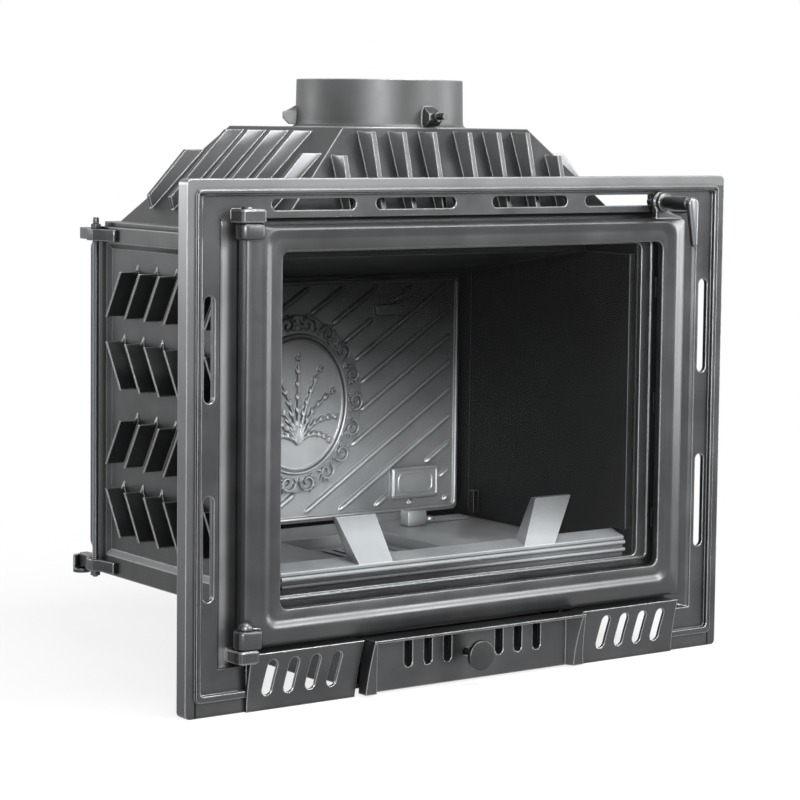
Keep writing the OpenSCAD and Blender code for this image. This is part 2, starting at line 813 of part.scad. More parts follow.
// Height of the baffle's underside above a point y behind the frame
function baffle_under(y) = baffle_back[1]
    + (baffle_front[1] - baffle_back[1]) * (baffle_back[0] - y) / (baffle_back[0] - baffle_front[0]);

module side_lining_shape() {
    bar(side_lining_x, liner_x) polygon([[hearth_front, base_top], [side_lining_back, base_top],
        [side_lining_back, baffle_under(side_lining_back)], baffle_front,
        [guard_y, baffle_front[1]], [guard_y, guard_back_z + 1], [hearth_front, guard_back_z + 1]]);
    block(side_lining_x - 8, side_lining_x + 1, side_lining_back - 22,
        side_lining_back - 10, hearth_z + 8, hearth_z + 36);
}

module side_lining_right() color(DARK_IRON) side_lining_shape();
module side_lining_left() color(DARK_IRON) mirror([1, 0, 0]) side_lining_shape();

// Back lining with sloping ribs, a raised oval plaque and a bare plate
module back_lining() color(IRON) {
    top = baffle_back[1] - 2;
    foot = lining_foot;
    intersection() {
        slab(lining_y - rib_out, lining_y + 1)
            round_rect(-lining_half_w + 6, foot + 8, lining_half_w - 6, top - 6, 4);
        translate([0, lining_y + 1, plaque_z]) rotate([0, -rib_angle, 0])
            for (i = [-10:10]) block(-500, 500, -rib_out - 1, 0,
                i * rib_pitch - rib_w / 2 - 6, i * rib_pitch + rib_w / 2 - 6);
    }
    slab(lining_y, lining_y + lining_t)
        round_rect(-lining_half_w, foot, lining_half_w, top, 8);
    for (x = [-lining_leg_x, lining_leg_x])
        block(x - 20, x + 20, lining_y, lining_y + lining_t, base_top, foot + 1);
    for (x = [-180, 180], z = [base_top + 58, top - 54])
        block(x - 15, x + 15, lining_y + lining_t - 1, back_inner, z - 15, z + 15);
    translate([0, lining_y + 1, plaque_z]) rotate([90, 0, 0]) {
        linear_extrude(rib_out + 2) oval(plaque_w - 40, plaque_h - 40);
        linear_extrude(rib_out + 4) difference() {
            oval(plaque_w - 40, plaque_h - 40);
            oval(plaque_w - 54, plaque_h - 54);
        }
        linear_extrude(rib_out + 1) oval(plaque_w, plaque_h);
    }
    slab(lining_y - rib_out - 2, lining_y + 1)
        round_rect(plate_x - 38, plate_z - 21, plate_x + 38, plate_z + 21, 3);
    block(tab_x - 24, tab_x + 24, lining_y - 7, lining_y + 1, tab_z - 7, tab_z + 7);
}

// Oval outline of the given width and height
module oval(w, h) {
    polygon([for (i = [0:47]) [w / 2 * cos(i * 7.5), h / 2 * sin(i * 7.5)]]);
}

// Block on the hearth with a bolted flange beside it, which keeps the lining's foot in
module lining_cleat() color(IRON) {
    x = plate_x - 58;
    y = lining_y - 71;
    block(x, x + 29, y, y + 18, hearth_z, hearth_z + 20);
    block(x + 20, x + 106, y + 12, y + 33, hearth_z, hearth_z + 3);
    translate([x + 50, y + 23, hearth_z + 2]) cylinder(h = 5, r = 6);
}

// Hearth plate beside the pit, drawn for the right
module hearth_side_shape() {
    wall_x = side_lining_x - seat_gap;
    bar_t = 8;
    slab(hearth_front, hearth_rear) polygon([
        [pit_half_w, base_top], [pit_half_w, hearth_z], [wall_x, hearth_z],
        [wall_x, base_top], [wall_x - bar_t, base_top], [wall_x - bar_t, hearth_z - bar_t],
        [pit_half_w + bar_t, hearth_z - bar_t], [pit_half_w + bar_t, base_top]]);
}

module hearth_plate_right() color(DARK_IRON) hearth_side_shape();
module hearth_plate_left() color(DARK_IRON) mirror([1, 0, 0]) hearth_side_shape();

// Hearth plate across the pit's end, from y0 at height z0 to y1 at height z1
module hearth_end(y0, z0, y1, z1) {
    half = pit_half_w - seat_gap;
    bar(-half, half) polygon([[y0, base_top], [y0, z0], [y1, z1], [y1, base_top],
        [y1 - 8, base_top], [y1 - 8, z1 - 8], [y0 + 8, z0 - 8], [y0 + 8, base_top]]);
}

module hearth_plate_front() color(DARK_IRON) hearth_end(hearth_front, hearth_z + 8, pit_front, hearth_z);
module hearth_plate_rear() color(DARK_IRON) hearth_end(pit_back, hearth_z, hearth_rear, hearth_z + 3);

module fire_grate() color(IRON) difference() {
    block(-pit_half_w + seat_gap, pit_half_w - seat_gap, pit_front + seat_gap,
        pit_back - seat_gap, base_top, base_top + grate_t);
    pitch = (2 * pit_half_w - 24) / grate_bars;
    gap_w = pitch - 9;
    for (i = [0:grate_bars - 1])
        translate([(i - (grate_bars - 1) / 2) * pitch, (pit_front + pit_back) / 2, base_top - 1])
            linear_extrude(grate_t + 2) slot_shape(gap_w, pit_back - pit_front - 34);
}

// Front bar of the log guard, with two horns that lean outwards
module log_guard() color(IRON) {
    half = side_lining_x - 2;
    back_y = guard_y + guard_depth;
    bar(-half, half) polygon([[guard_y, sill_top], [guard_y, guard_front_z],
        [back_y, guard_back_z], [back_y, sill_top]]);
    for (s = [-1, 1]) intersection() {
        slab(guard_y, back_y) polygon([[s * horn_in, sill_top + 1],
            [s * (horn_in + horn_shift), guard_front_z + horn_h],
            [s * (horn_in + horn_shift + horn_w + 8), guard_front_z + horn_h],
            [s * (horn_in + horn_w), sill_top + 1]]);
        bar(-half, half) polygon([[guard_y, sill_top], [guard_y + 7, guard_front_z + horn_h],
            [guard_y + 16, guard_front_z + horn_h], [back_y, sill_top]]);
    }
}

module ribbed_sill() color(IRON) {
    half = side_lining_x - 2;
    plate_y = guard_y + 2;
    bar(-half, half) polygon([[plate_y, base_top], [plate_y, sill_top],
        [guard_y + guard_depth, sill_top], [guard_y + guard_depth, sill_top - 8],
        [plate_y + 8, sill_top - 8], [plate_y + 8, base_top]]);
    for (z = [sill_top - 12, sill_top - 3]) bar(-half, half)
        round_rect(body_front + 0.5, z - 2.5, plate_y + 1, z + 2.5, 2.4);
}

module ash_chamber() color(DARK_IRON) difference() {
    inner = chamber_half_w - chamber_wall;
    union() {
        block(-chamber_half_w, chamber_half_w, body_front, body_front + chamber_l, 0, body_z);
        block(-chamber_half_w - chamber_flange, chamber_half_w + chamber_flange, body_front,
            body_front + 3, 0, body_z);
    }
    block(-inner, inner, body_front - 1, body_front + chamber_l - chamber_wall,
        chamber_floor, body_z + 1);
    block(-reach * 3, reach * 3, body_front - 1, body_front + chamber_front, -1, chamber_rise);
}

// Open pan with two lugs at its front, which the screws hold to the drawer's front
module ash_pan() color(STEEL) difference() {
    half = pan_half_w;
    front = 9;
    union() {
        block(-half, half, front, pan_l, pan_z0, pan_top);
        for (s = [-1, 1]) {
            x0 = s > 0 ? half - pan_t : -half;
            block(x0, x0 + pan_t, panel_back, front + 1, pan_z0, pan_top);
            block(s > 0 ? screw_x - 4.5 : -half, s > 0 ? half : -screw_x + 4.5,
                panel_back, panel_back + pan_t, pan_z0, pan_top);
        }
    }
    block(-half + pan_t, half - pan_t, front + pan_t, pan_l - pan_t, pan_z0 + pan_t, pan_top + 1);
    each_drawer_screw() translate([0, panel_back + pan_t + 1, 0]) rotate([90, 0, 0])
        cylinder(h = pan_t + 2, r = 2 + run_gap);
}

// Places a child at each screw that holds the pan to the drawer's front
module each_drawer_screw() {
    for (x = [-screw_x, screw_x], z = screw_zs) translate([x, 0, z]) children();
}

module drawer_screws() color(STEEL) each_drawer_screw() {
    translate([0, panel_back + pan_t + 2.5, 0]) rotate([90, 0, 0]) cylinder(h = 2.5, r = 4);
    translate([0, panel_back + pan_t, 0]) rotate([90, 0, 0]) cylinder(h = pan_t + 3.5, r = 2);
}

module air_slot_row(y0, y1, shift) {
    for (x = air_slots) translate([x + shift, 0, (air_z0 + air_z1) / 2])
        slab(y0, y1) slot_shape(air_slot_w, air_z1 - air_z0);
}

// Cuts the drawer's front to its outline, whose ends lean in
module drawer_outline() intersection() {
    union() children();
    slab(-reach, reach) polygon([[-drawer_half_w, 0], [drawer_half_w, 0],
        [drawer_half_w - end_lean, strip_h], [-drawer_half_w + end_lean, strip_h]]);
}

module ash_drawer_front() color(IRON) difference() {
    lip = -flare_top - drawer_out;
    drawer_outline() {
        for (s = [-1, 1]) intersection() {
            bar(-drawer_half_w, drawer_half_w) flare_filled();
            column(drawer_z0, strip_h) polygon([[s * panel_half_w, panel_back],
                [s * panel_half_w, -panel_out], [s * (panel_half_w + end_slant), lip],
                [s * drawer_half_w, lip], [s * drawer_half_w, panel_back]]);
        }
        bar(-drawer_half_w, drawer_half_w) polygon([[lip, strip_h], [lip, strip_h - ledge_t],
            [panel_back, strip_h - ledge_t - 1], [panel_back, strip_h]]);
        block(-drawer_half_w, drawer_half_w, -panel_out, panel_back, drawer_z0, strip_h - 1);
        for (z = [register_z0 - seat_gap - rail_t, register_z1 + seat_gap])
            block(-register_half_w, register_half_w + register_travel,
                panel_back - 1, panel_back + seat_gap + register_t, z, z + rail_t);
    }
    air_slot_row(-panel_out - 1, panel_back + 1, 0);
    translate([knob_x + register_travel / 2, 0, knob_z]) slab(-panel_out - 1, panel_back + 1)
        slot_shape(register_travel + 2 * stem_r + 1.2, 2 * stem_r + 1.2);
    each_drawer_screw() translate([0, panel_back + 1, 0]) rotate([90, 0, 0])
        cylinder(h = 5, r = 2 + run_gap);
}

// Closed outline in Y and Z of the drawer front's end, back to the panel
module flare_filled() {
    levels = [for (i = [0:8]) drawer_z0 + (strip_h - drawer_z0) * i / 8];
    polygon(concat([for (z = levels) [-flare(z) - drawer_out, z]],
        [[panel_back, strip_h], [panel_back, drawer_z0]]));
}

module air_register_plate() color(STEEL) difference() {
    y0 = panel_back + seat_gap;
    block(-register_half_w, register_half_w, y0, y0 + register_t, register_z0, register_z1);
    air_slot_row(y0 - 1, y0 + register_t + 1, register_rest);
}

module register_knob() color(DARK_IRON) {
    stem_back = panel_back + seat_gap;
    disc_t = 6;
    disc_y = -panel_out - stem_l;
    translate([knob_x, stem_back, knob_z]) rotate([90, 0, 0])
        cylinder(h = stem_back - disc_y, r = stem_r);
    translate([knob_x, disc_y + 1, knob_z]) rotate([90, 0, 0]) cylinder(h = disc_t, r = knob_d / 2);
}

// Solid between the door's back and its sloped front, before it is opened up
module door_blank() {
    intersection() {
        column(door_z, door_top) polygon([[-door_half, door_back], [-door_half, -edge_out],
            [-door_half + door_slope_side, -ridge_out], [door_half - door_slope_side, -ridge_out],
            [door_half, -edge_out], [door_half, door_back]]);
        bar(-door_half, door_half) polygon([[door_back, door_z], [-edge_out, door_z],
            [-ridge_out, door_z + door_slope_bottom], [-ridge_out, door_top - door_slope_top],
            [-edge_out, door_top], [door_back, door_top]]);
    }
}

// Space inside the ridge, down its bevel to the flat border
module door_recess() {
    far = -ridge_out - 1;
    intersection() {
        column(door_z, door_top) polygon([[-ridge_x, far], [-ridge_x, -ridge_out],
            [-flat_x, -flat_out], [flat_x, -flat_out], [ridge_x, -ridge_out], [ridge_x, far]]);
        bar(-door_half, door_half) polygon([[far, ridge_z0], [-ridge_out, ridge_z0],
            [-flat_out, flat_z0], [-flat_out, flat_z1], [-ridge_out, ridge_z1], [far, ridge_z1]]);
    }
}

// Lug with round corners, from z0 up to z1
module door_lug(z0, z1) {
    r = door_lug_round;
    column(z0, z1) round_rect(hinge_x - lug_r + 1, -hinge_out - lug_r + 3,
        hinge_x + lug_r + door_lug_reach, -1, r);
}

// Grooved boss above the door's top edge, on a web that runs down to the door's corner
module latch_ear() {
    web = 9;
    groove_y = (ear_front + ear_back) / 2;
    translate([latch_x, 0, latch_z]) {
        slab(groove_y + ear_groove / 2, ear_back) circle(ear_r);
        slab(groove_y - ear_groove, groove_y + ear_groove) circle(ear_r - ear_groove);
        slab(ear_front, groove_y - ear_groove / 2) circle(ear_r - 1);
    }
    slab(-edge_out, ear_back) polygon([[latch_x - web, door_top - 3], [latch_x - web, latch_z - ear_r / 2],
        [latch_x + web - 1, latch_z - ear_r + 3.5], [door_half - 6, door_top + 1],
        [door_half - 4, door_top - 3]]);
}

module door_frame() color(IRON) difference() {
    upper_lug_top = upper_lug_z - seat_gap;
    ball_top = lower_lug_top + lower_door_lug_h + ball_rise + pin_head_r;
    union() {
        difference() {
            union() {
                difference() {
                    door_blank();
                    door_recess();
                }
                door_lug(lower_lug_top, lower_lug_top + lower_door_lug_h);
                door_lug(upper_lug_top - upper_door_lug_h, upper_lug_top);
            }
            slab(glass_front, reach) round_rect(-door_half + door_wall, door_z + door_wall,
                door_half - door_wall, door_top - door_wall, 3);
        }
        slab(glass_front - 1, glass_front + glass_t) translate([pane_shift, 0]) difference() {
            round_rect(-glass_x - rebate_gap - rebate_w, glass_z0 - rebate_gap - rebate_end,
                glass_x + rebate_gap + rebate_w, glass_z1 + rebate_gap + rebate_end, 3);
            round_rect(-glass_x - rebate_gap, glass_z0 - rebate_gap,
                glass_x + rebate_gap, glass_z1 + rebate_gap, 2);
        }
        latch_ear();
    }
    slab(-reach, reach) translate([pane_shift, 0]) round_rect(-pane_x, pane_z0, pane_x, pane_z1, opening_r);
    pin_hole(lower_lug_top - 1, lower_lug_top + lower_door_lug_h + 1, run_gap);
    pin_hole(upper_lug_top - upper_door_lug_h - 1, upper_lug_z, run_gap);
    translate([hinge_x, -hinge_out, lower_lug_top + lower_door_lug_h])
        cylinder(h = ball_top + 1 - lower_lug_top - lower_door_lug_h, r = pin_head_r + 2 * seat_gap);
    translate([latch_x, 5, latch_z]) rotate([90, 0, 0]) cylinder(h = reach, r = spindle_r + run_gap);
    each_glass_screw() translate([0, glass_front + glass_t + 1, 0]) rotate([90, 0, 0])
        cylinder(h = 6, r = 2 + run_gap);
}

module door_glass() color(GLASS) slab(glass_front, glass_front + glass_t) translate([pane_shift, 0])
    round_rect(-glass_x, glass_z0, glass_x, glass_z1, 3);

// Places a child at each glass clip, turned so that its X points away from the glass
module each_clip() {
    mid_z = (glass_z0 + glass_z1) / 2;
    for (s = [0, 180], z = [-1, 0, 1] * (glass_z1 - glass_z0) * 0.35)
        translate([pane_shift + (s > 0 ? -glass_x : glass_x), 0, mid_z + z]) rotate([0, s, 0]) children();
}

// Places a child at each clip's screw
module each_glass_screw() {
    each_clip() translate([rebate_gap + 3, 0, 0]) children();
}

module glass_clips() color(STEEL) {
    y0 = glass_front + glass_t;
    each_clip() difference() {
        block(-7, rebate_gap + 5.5, y0, y0 + 2, -12, 12);
        translate([rebate_gap + 3, y0 + 3, 0]) rotate([90, 0, 0]) cylinder(h = 4, r = 2 + run_gap);
    }
}

module glass_screws() color(STEEL) {
    y0 = glass_front + glass_t + 2;
    each_glass_screw() {
        translate([0, y0 + 2, 0]) rotate([90, 0, 0]) cylinder(h = 2, r = 3.5);
        translate([0, y0, 0]) rotate([90, 0, 0]) cylinder(h = 6, r = 2);
    }
}

// Rope seal: straight runs and quarter turns in the channel behind the door's rim
module door_gasket() color(ROPE) {
    turn = 10;
    x = door_half - rope_in;
    z0 = door_z + rope_in;
    z1 = door_top - rope_in;
    for (s = [-1, 1]) translate([s * x, rope_y, z0 + turn]) cylinder(h = z1 - z0 - 2 * turn, r = rope_r);
    for (z = [z0, z1]) translate([-x + turn, rope_y, z]) rotate([0, 90, 0])
        cylinder(h = 2 * x - 2 * turn, r = rope_r);
    for (c = [[x, z1, 0], [-x, z1, 90], [-x, z0, 180], [x, z0, 270]])
        translate([c[0] - sign(c[0]) * turn, rope_y, c[1] + (c[1] > 300 ? -turn : turn)])
            rotate([90, 0, 0]) rotate([0, 0, c[2]])
                rotate_extrude(angle = 90) translate([turn, 0]) circle(rope_r);
}

module hinge_pin_upper() color(STEEL) {
    z0 = upper_lug_z - seat_gap - upper_door_lug_h + 2;
    z1 = upper_lug_z + lug_h;
    translate([hinge_x, -hinge_out, z0]) cylinder(h = z1 - z0, r = pin_r);
    translate([hinge_x, -hinge_out, z1]) cylinder(h = 3, r1 = pin_head_r, r2 = pin_head_r - 2);
}

module hinge_pin_lower() color(STEEL) {
    z0 = lower_lug_top - seat_gap - lug_h;
    z1 = lower_lug_top + lower_door_lug_h + seat_gap;
    translate([hinge_x, -hinge_out, z0]) cylinder(h = z1 - z0 + ball_rise, r = pin_r);
    translate([hinge_x, -hinge_out, z1]) intersection() {
        translate([0, 0, ball_rise]) sphere(pin_head_r);
        cylinder(h = reach, r = reach);
    }
}

// Spindle through the ear, with its locking tongue behind the frame's plate
module latch_spindle() color(STEEL) {
    back = tongue_y + tongue_t;
    translate([latch_x, back, latch_z]) rotate([90, 0, 0])
        cylinder(h = back - lever_front - 1, r = spindle_r);
    translate([latch_x, 0, latch_z]) slab(tongue_y, back)
        round_rect(-tongue_w / 2, -tongue_h / 2, tongue_w / 2, tongue_h / 2, 1);
}

// Sleeve on the spindle, which widens from a narrow neck
module handle_sleeve() color(DARK_IRON)
    translate([latch_x, ear_front - seat_gap, latch_z]) rotate([90, 0, 0]) {
        bore = spindle_r + run_gap;
        r = sleeve_d / 2;
        rotate_extrude() polygon([[bore, 0], [bore + 1.2, 0], [bore + 1.2, 4], [r - 1.4, 5.5],
            [r, 16], [r, sleeve_l - 8], [r - 0.8, sleeve_l - 1.5], [r - 2.2, sleeve_l],
            [bore, sleeve_l]]);
    }

// Tapered lever that hangs from the spindle's front end
module handle_lever() color(STEEL) difference() {
    lean = asin((lever_top_r - lever_tip_r) / lever_l);
    half_turn = [for (i = [0:12]) i / 12];
    translate([latch_x, 0, latch_z]) slab(lever_front, sleeve_front) polygon(concat(
        [for (t = half_turn) let (a = -lean + t * (180 + 2 * lean))
            lever_top_r * [cos(a), sin(a)]],
        [for (t = half_turn) let (a = 180 + lean + t * (180 - 2 * lean))
            lever_tip_r * [cos(a), sin(a)] - [0, lever_l]]));
    translate([latch_x, lever_front + 20, latch_z]) rotate([90, 0, 0])
        cylinder(h = 19, r = spindle_r + run_gap);
}

module both_sides() {
    children();
    mirror([1, 0, 0]) children();
}

module tie_rods() color(STEEL) both_sides()
    translate([rod_x, rod_y, bracket_z0 - 8])
        cylinder(h = bracket_z1 - bracket_z0 + 22, r = rod_d / 2);

module tie_rod_nuts() color(STEEL) both_sides() for (z = [bracket_z0 - 6, bracket_z1])
    translate([rod_x, rod_y, z]) difference() {
        cylinder(h = 6, r = rod_d * 0.85, $fn = 6);
        translate([0, 0, -1]) cylinder(h = 8, r = rod_d / 2 + run_gap);
    }

// Bracket on a rear corner, from z0 to z1, drawn for the right
module bracket_shape(z0, z1) {
    difference() {
        union() {
            column(z0, z1) polygon([[side_x, rod_y - 40], [side_x + 5, rod_y - 40],
                [side_x + 9, rod_y - 14], [side_x + 15, rod_y - 6], [side_x + 15, rod_y + 8],
                [side_x + 5, rod_y + 22], [side_x + 1, bracket_back],
                [side_x - 10, bracket_back], [side_x - 12, body_back],
                [side_x, body_back]]);
        }
        translate([rod_x, rod_y, z0 - 1]) cylinder(h = z1 - z0 + 2, r = rod_d / 2 + run_gap);
    }
}

module brackets_upper() color(IRON) both_sides()
    bracket_shape(bracket_z1 - bracket_t, bracket_z1);

module brackets_lower() color(IRON) both_sides() {
    bracket_shape(bracket_z0, bracket_z0 + bracket_t);
    hook_r = 11;
    hook_wall = 5;
    translate([side_x - 4, hook_back - hook_r, bracket_z0 - 11]) difference() {
        cylinder(h = 11 + bracket_t - 4, r = hook_r);
        translate([0, 0, hook_wall]) cylinder(h = reach, r = hook_r - hook_wall);
        translate([0, -reach, hook_wall]) cube([reach, reach, reach]);
    }
}

module place() translate([0, centre_y, 0]) children();

place() front_frame();
place() lower_grille_left();
place() lower_grille_right();
place() side_wall_left();
place() side_wall_right();
place() back_wall();
place() base_plate();
place() front_header();
place() smoke_hood();
place() flue_collar();
place() collar_bolts();
place() baffle_plate();
place() back_lining();
place() lining_cleat();
place() side_lining_left();
place() side_lining_right();
place() hearth_plate_left();
place() hearth_plate_right();
place() hearth_plate_front();
place() hearth_plate_rear();
place() fire_grate();
place() log_guard();
place() ribbed_sill();
place() ash_chamber();
place() ash_pan();
place() ash_drawer_front();
place() drawer_screws();
place() air_register_plate();
place() register_knob();
place() door_frame();
place() door_glass();
place() glass_clips();
place() glass_screws();
place() door_gasket();
place() hinge_pin_upper();
place() hinge_pin_lower();
place() latch_spindle();
place() handle_sleeve();
place() handle_lever();
place() tie_rods();
place() tie_rod_nuts();
place() brackets_upper();
place() brackets_lower();
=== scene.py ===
"""Studio scene of a cast iron fireplace insert.

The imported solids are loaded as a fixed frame. Every class below stands for one
sub-assembly of the insert, for a finish or for the studio round it. Lengths in the
classes are in millimetres, with Y counted from the face of the front frame's outer
band, unless a comment says otherwise. X runs to the right, Y to the back and Z up.
"""

import json
import logging
import math
from dataclasses import dataclass, field
from enum import Enum
from typing import Any, Dict, List, Optional, Sequence, Tuple

import bmesh
import bpy
from mathutils import Matrix, Vector

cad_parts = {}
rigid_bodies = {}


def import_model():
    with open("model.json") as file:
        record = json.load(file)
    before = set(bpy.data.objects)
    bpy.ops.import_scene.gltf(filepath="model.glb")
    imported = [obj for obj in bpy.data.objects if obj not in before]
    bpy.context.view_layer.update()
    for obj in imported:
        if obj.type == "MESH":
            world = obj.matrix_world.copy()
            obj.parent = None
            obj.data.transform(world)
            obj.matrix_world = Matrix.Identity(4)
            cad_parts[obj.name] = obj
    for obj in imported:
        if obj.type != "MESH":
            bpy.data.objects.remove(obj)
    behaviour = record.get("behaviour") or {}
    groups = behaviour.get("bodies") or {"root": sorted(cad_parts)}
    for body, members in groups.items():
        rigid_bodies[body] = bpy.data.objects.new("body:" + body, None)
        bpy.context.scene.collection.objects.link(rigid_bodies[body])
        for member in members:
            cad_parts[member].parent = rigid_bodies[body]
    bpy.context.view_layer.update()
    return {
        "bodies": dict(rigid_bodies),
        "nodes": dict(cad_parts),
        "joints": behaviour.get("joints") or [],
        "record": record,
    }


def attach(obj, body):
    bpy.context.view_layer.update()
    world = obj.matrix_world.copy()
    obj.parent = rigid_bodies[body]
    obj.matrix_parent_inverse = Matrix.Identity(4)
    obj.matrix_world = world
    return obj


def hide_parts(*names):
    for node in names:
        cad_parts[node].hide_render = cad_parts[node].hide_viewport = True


LOG = logging.getLogger("fireplace_insert")
MM = 0.001
# Y of that face in the row frame, whose origin is at half the insert's depth
CENTRE_Y = -193.85
# Inputs and output of a mix node that is set to colours
FACTOR, UNDER, OVER, MIXED = 0, 6, 7, 2
WHITE = (1.0, 1.0, 1.0, 1.0)
SHADE_DARK = "#1c1c1d"
Point = Tuple[float, float, float]
Colour = Tuple[float, float, float, float]
Flat = Tuple[float, float]
Stops = Sequence[Flat]


def srgb(code: str) -> Colour:
    """Turns an sRGB hex colour into Blender's linear colour.

    Args:
        code: Colour such as "#4a4c4e".

    Returns:
        Linear red, green, blue and an alpha of one.
    """
    values = [int(code[i:i + 2], 16) / 255 for i in (1, 3, 5)]
    linear = [v / 12.92 if v <= 0.04045 else ((v + 0.055) / 1.055) ** 2.4 for v in values]
    return (linear[0], linear[1], linear[2], 1.0)


def add_node(tree: bpy.types.NodeTree, kind: str, feeds: Optional[Dict[Any, Any]] = None,
             stops: Stops = (), **settings: Any) -> bpy.types.Node:
    """Adds a shader node with its settings, its constants and what feeds it.

    Args:
        tree: Node tree that gets the node.
        kind: Blender's type name of the node.
        feeds: Input name or index to the socket that feeds it or to its constant value.
        stops: Rising positions and grey values of a colour ramp.
        **settings: Attributes of the node.

    Returns:
        The new node.
    """
    node = tree.nodes.new(kind)
    for key, value in settings.items():
        setattr(node, key, value)
    for key, value in (feeds or {}).items():
        if isinstance(value, bpy.types.NodeSocket):
            tree.links.new(value, node.inputs[key])
        else:
            node.inputs[key].default_value = value
    for i, (position, grey) in enumerate(stops):
        elements = node.color_ramp.elements
        element = elements[i] if i < len(elements) else elements.new(position)
        element.position = position
        element.color = (grey, grey, grey, 1.0)
    return node


def new_material(name: str) -> Tuple[bpy.types.Material, bpy.types.NodeTree]:
    """Makes an empty node material.

    Args:
        name: Name of the material.

    Returns:
        The material and its node tree.
    """
    material = bpy.data.materials.new(name)
    material.use_nodes = True
    material.node_tree.nodes.clear()
    return material, material.node_tree


def add_object(name: str, data: bpy.types.ID) -> bpy.types.Object:
    """Makes an object and puts it into the scene.

    Args:
        name: Name of the object.
        data: Its mesh, lamp or camera.

    Returns:
        The object.
    """
    made = bpy.data.objects.new(name, data)
    bpy.context.scene.collection.objects.link(made)
    return made


@dataclass
class Surface:
    """Colour of a casting while painted light and shade are laid over it, layer by layer."""

    tree: bpy.types.NodeTree
    # Sockets with the place on the piece, in metres in the row frame, and with the colour so far
    place: Any
    colour: Any

    # Limits of places in the row frame, in millimetres
    LEFT_BAND = {"x": (-386.0, -373.2)}
    TOP_BAND = {"z": (573.2, 585.2)}
    OUTSIDE_OF_BEAD_SHADOW = {"x": (-373.4, 373.4), "z": (-1.0, 569.5)}
    INSIDE_OF_BEAD_SHADOW = {"x": (-371.2, 371.2), "z": (-1.0, 567.3)}
    COVE = {"y": (-190.4, 10.0), "z": (51.5, 541.5)}
    FIREBOX = {"x": (-260.4, 260.4), "y": (-300.0, 193.5), "z": (118.0, 516.5)}
    HEARTH = {"z": (-1.0, 134.0)}
    # Ranges in millimetres over which a layer grows: up the left band, across the cove, up the
    # hood's fins and across the hearth
    BAND_RISE = (0.0, 500.0)
    COVE_WIDTH = (-344.0, -320.0)
    FIN_RISE = (535.0, 637.0)
    HEARTH_WIDTH = (-30.0, 120.0)
    # Stops of the painted shade from deep hollows to open faces
    HOLLOW_GREY = ((0.25, 0.25), (0.9, 1.0))
    # Stops across the cove beside the hinges: how much of the painted light and shade shows, and its grey,
    # from a painted shadow in the corner over a painted highlight to painted shade by the door
    COVE_SHARE = ((0.0, 0.0), (0.02, 1.0), (0.55, 0.8), (0.98, 0.0))
    COVE_GREY = ((0.17, 0.002), (0.23, 0.62), (0.5, 0.5), (0.9, 0.12))
    # Stops up the hood: how strongly the painted highlight shows on its fins
    FIN_SHARE = ((0.0, 0.0), (0.2, 0.35), (0.7, 0.8), (0.98, 0.9), (1.0, 0.0))
    # Stops from the lightest to the darkest painted shade
    SHADE_GREY = ((0.28, 1.0), (0.5, 0.45), (0.72, 0.11), (0.95, 0.03))

    def __post_init__(self) -> None:
        """Splits the place into its three axes."""
        self.x, self.y, self.z = add_node(self.tree, "ShaderNodeSeparateXYZ", {0: self.place}).outputs

    def lay(self, over: Any, *shares: Any, blend: str = "MIX") -> None:
        """Lays a layer over the surface where all of its shares meet.

        Args:
            over: Socket or colour of the layer.
            *shares: Sockets or numbers that are multiplied to say how much of the layer shows.
            blend: Blender's name of the way in which the two are joined.
        """
        share: Any = shares[0] if shares else 1.0
        for part in shares[1:]:
            share = add_node(self.tree, "ShaderNodeMath", {0: share, 1: part},
                             operation="MULTIPLY").outputs[0]
        mix = add_node(self.tree, "ShaderNodeMix", {FACTOR: share, UNDER: self.colour, OVER: over},
                       data_type="RGBA", blend_type=blend)
        self.colour = mix.outputs[MIXED]

    def within(self, **limits: Flat) -> List[Any]:
        """Tests whether the place lies between limits.

        Args:
            **limits: Least and greatest value in millimetres in the row frame of "x", "y" or "z".

        Returns:
            A share for each axis, which is one between its limits and nought elsewhere.
        """
        return [add_node(self.tree, "ShaderNodeMath", {
            0: getattr(self, axis), 1: (least + most) / 2 * MM, 2: (most - least) / 2 * MM},
            operation="COMPARE").outputs[0] for axis, (least, most) in limits.items()]

    def paint_edge_highlight(self, rounded: Any, code: str) -> None:
        """Paints a highlight along the edges, where the rounded normal turns away from the face's.

        Args:
            rounded: Socket with the normal that rounds the edges.
            code: Colour of the painted edge highlight.
        """
        face = add_node(self.tree, "ShaderNodeNewGeometry").outputs["Normal"]
        # Cosines of the angles between both normals at which the painted highlight is full and at which it
        # ends
        match = add_node(self.tree, "ShaderNodeVectorMath", {0: rounded, 1: face}, operation="DOT_PRODUCT")
        edge_highlight = add_node(self.tree, "ShaderNodeMapRange", {
            "Value": match.outputs["Value"], "From Min": 0.82, "From Max": 0.995,
            "To Min": 1.0, "To Max": 0.0})
        self.lay(srgb(code), edge_highlight.outputs[0])

    def paint_hollow_shade(self, reach: float) -> None:
        """Paints shade into hollows, as far as ambient occlusion finds near walls.

        Args:
            reach: How far a hollow's walls may stand apart, in millimetres.
        """
        hollow = add_node(self.tree, "ShaderNodeAmbientOcclusion", {"Distance": reach * MM}, samples=4)
        shade_ramp = add_node(self.tree, "ShaderNodeValToRGB", {0: hollow.outputs["AO"]}, self.HOLLOW_GREY)
        self.lay(shade_ramp.outputs["Color"], blend="MULTIPLY")

    def paint_band_highlight(self, code: str) -> None:
        """Paints a highlight on the band round the front frame at its top and up its left side, brighter
        towards the top on the left.

        Args:
            code: Colour of the painted highlight.
        """
        height = add_node(self.tree, "ShaderNodeMapRange", {
            "Value": self.z, "From Min": self.BAND_RISE[0] * MM, "From Max": self.BAND_RISE[1] * MM})
        self.lay(srgb(code), *self.within(**self.LEFT_BAND), height.outputs[0])
        self.lay(srgb(code), *self.within(**self.TOP_BAND))

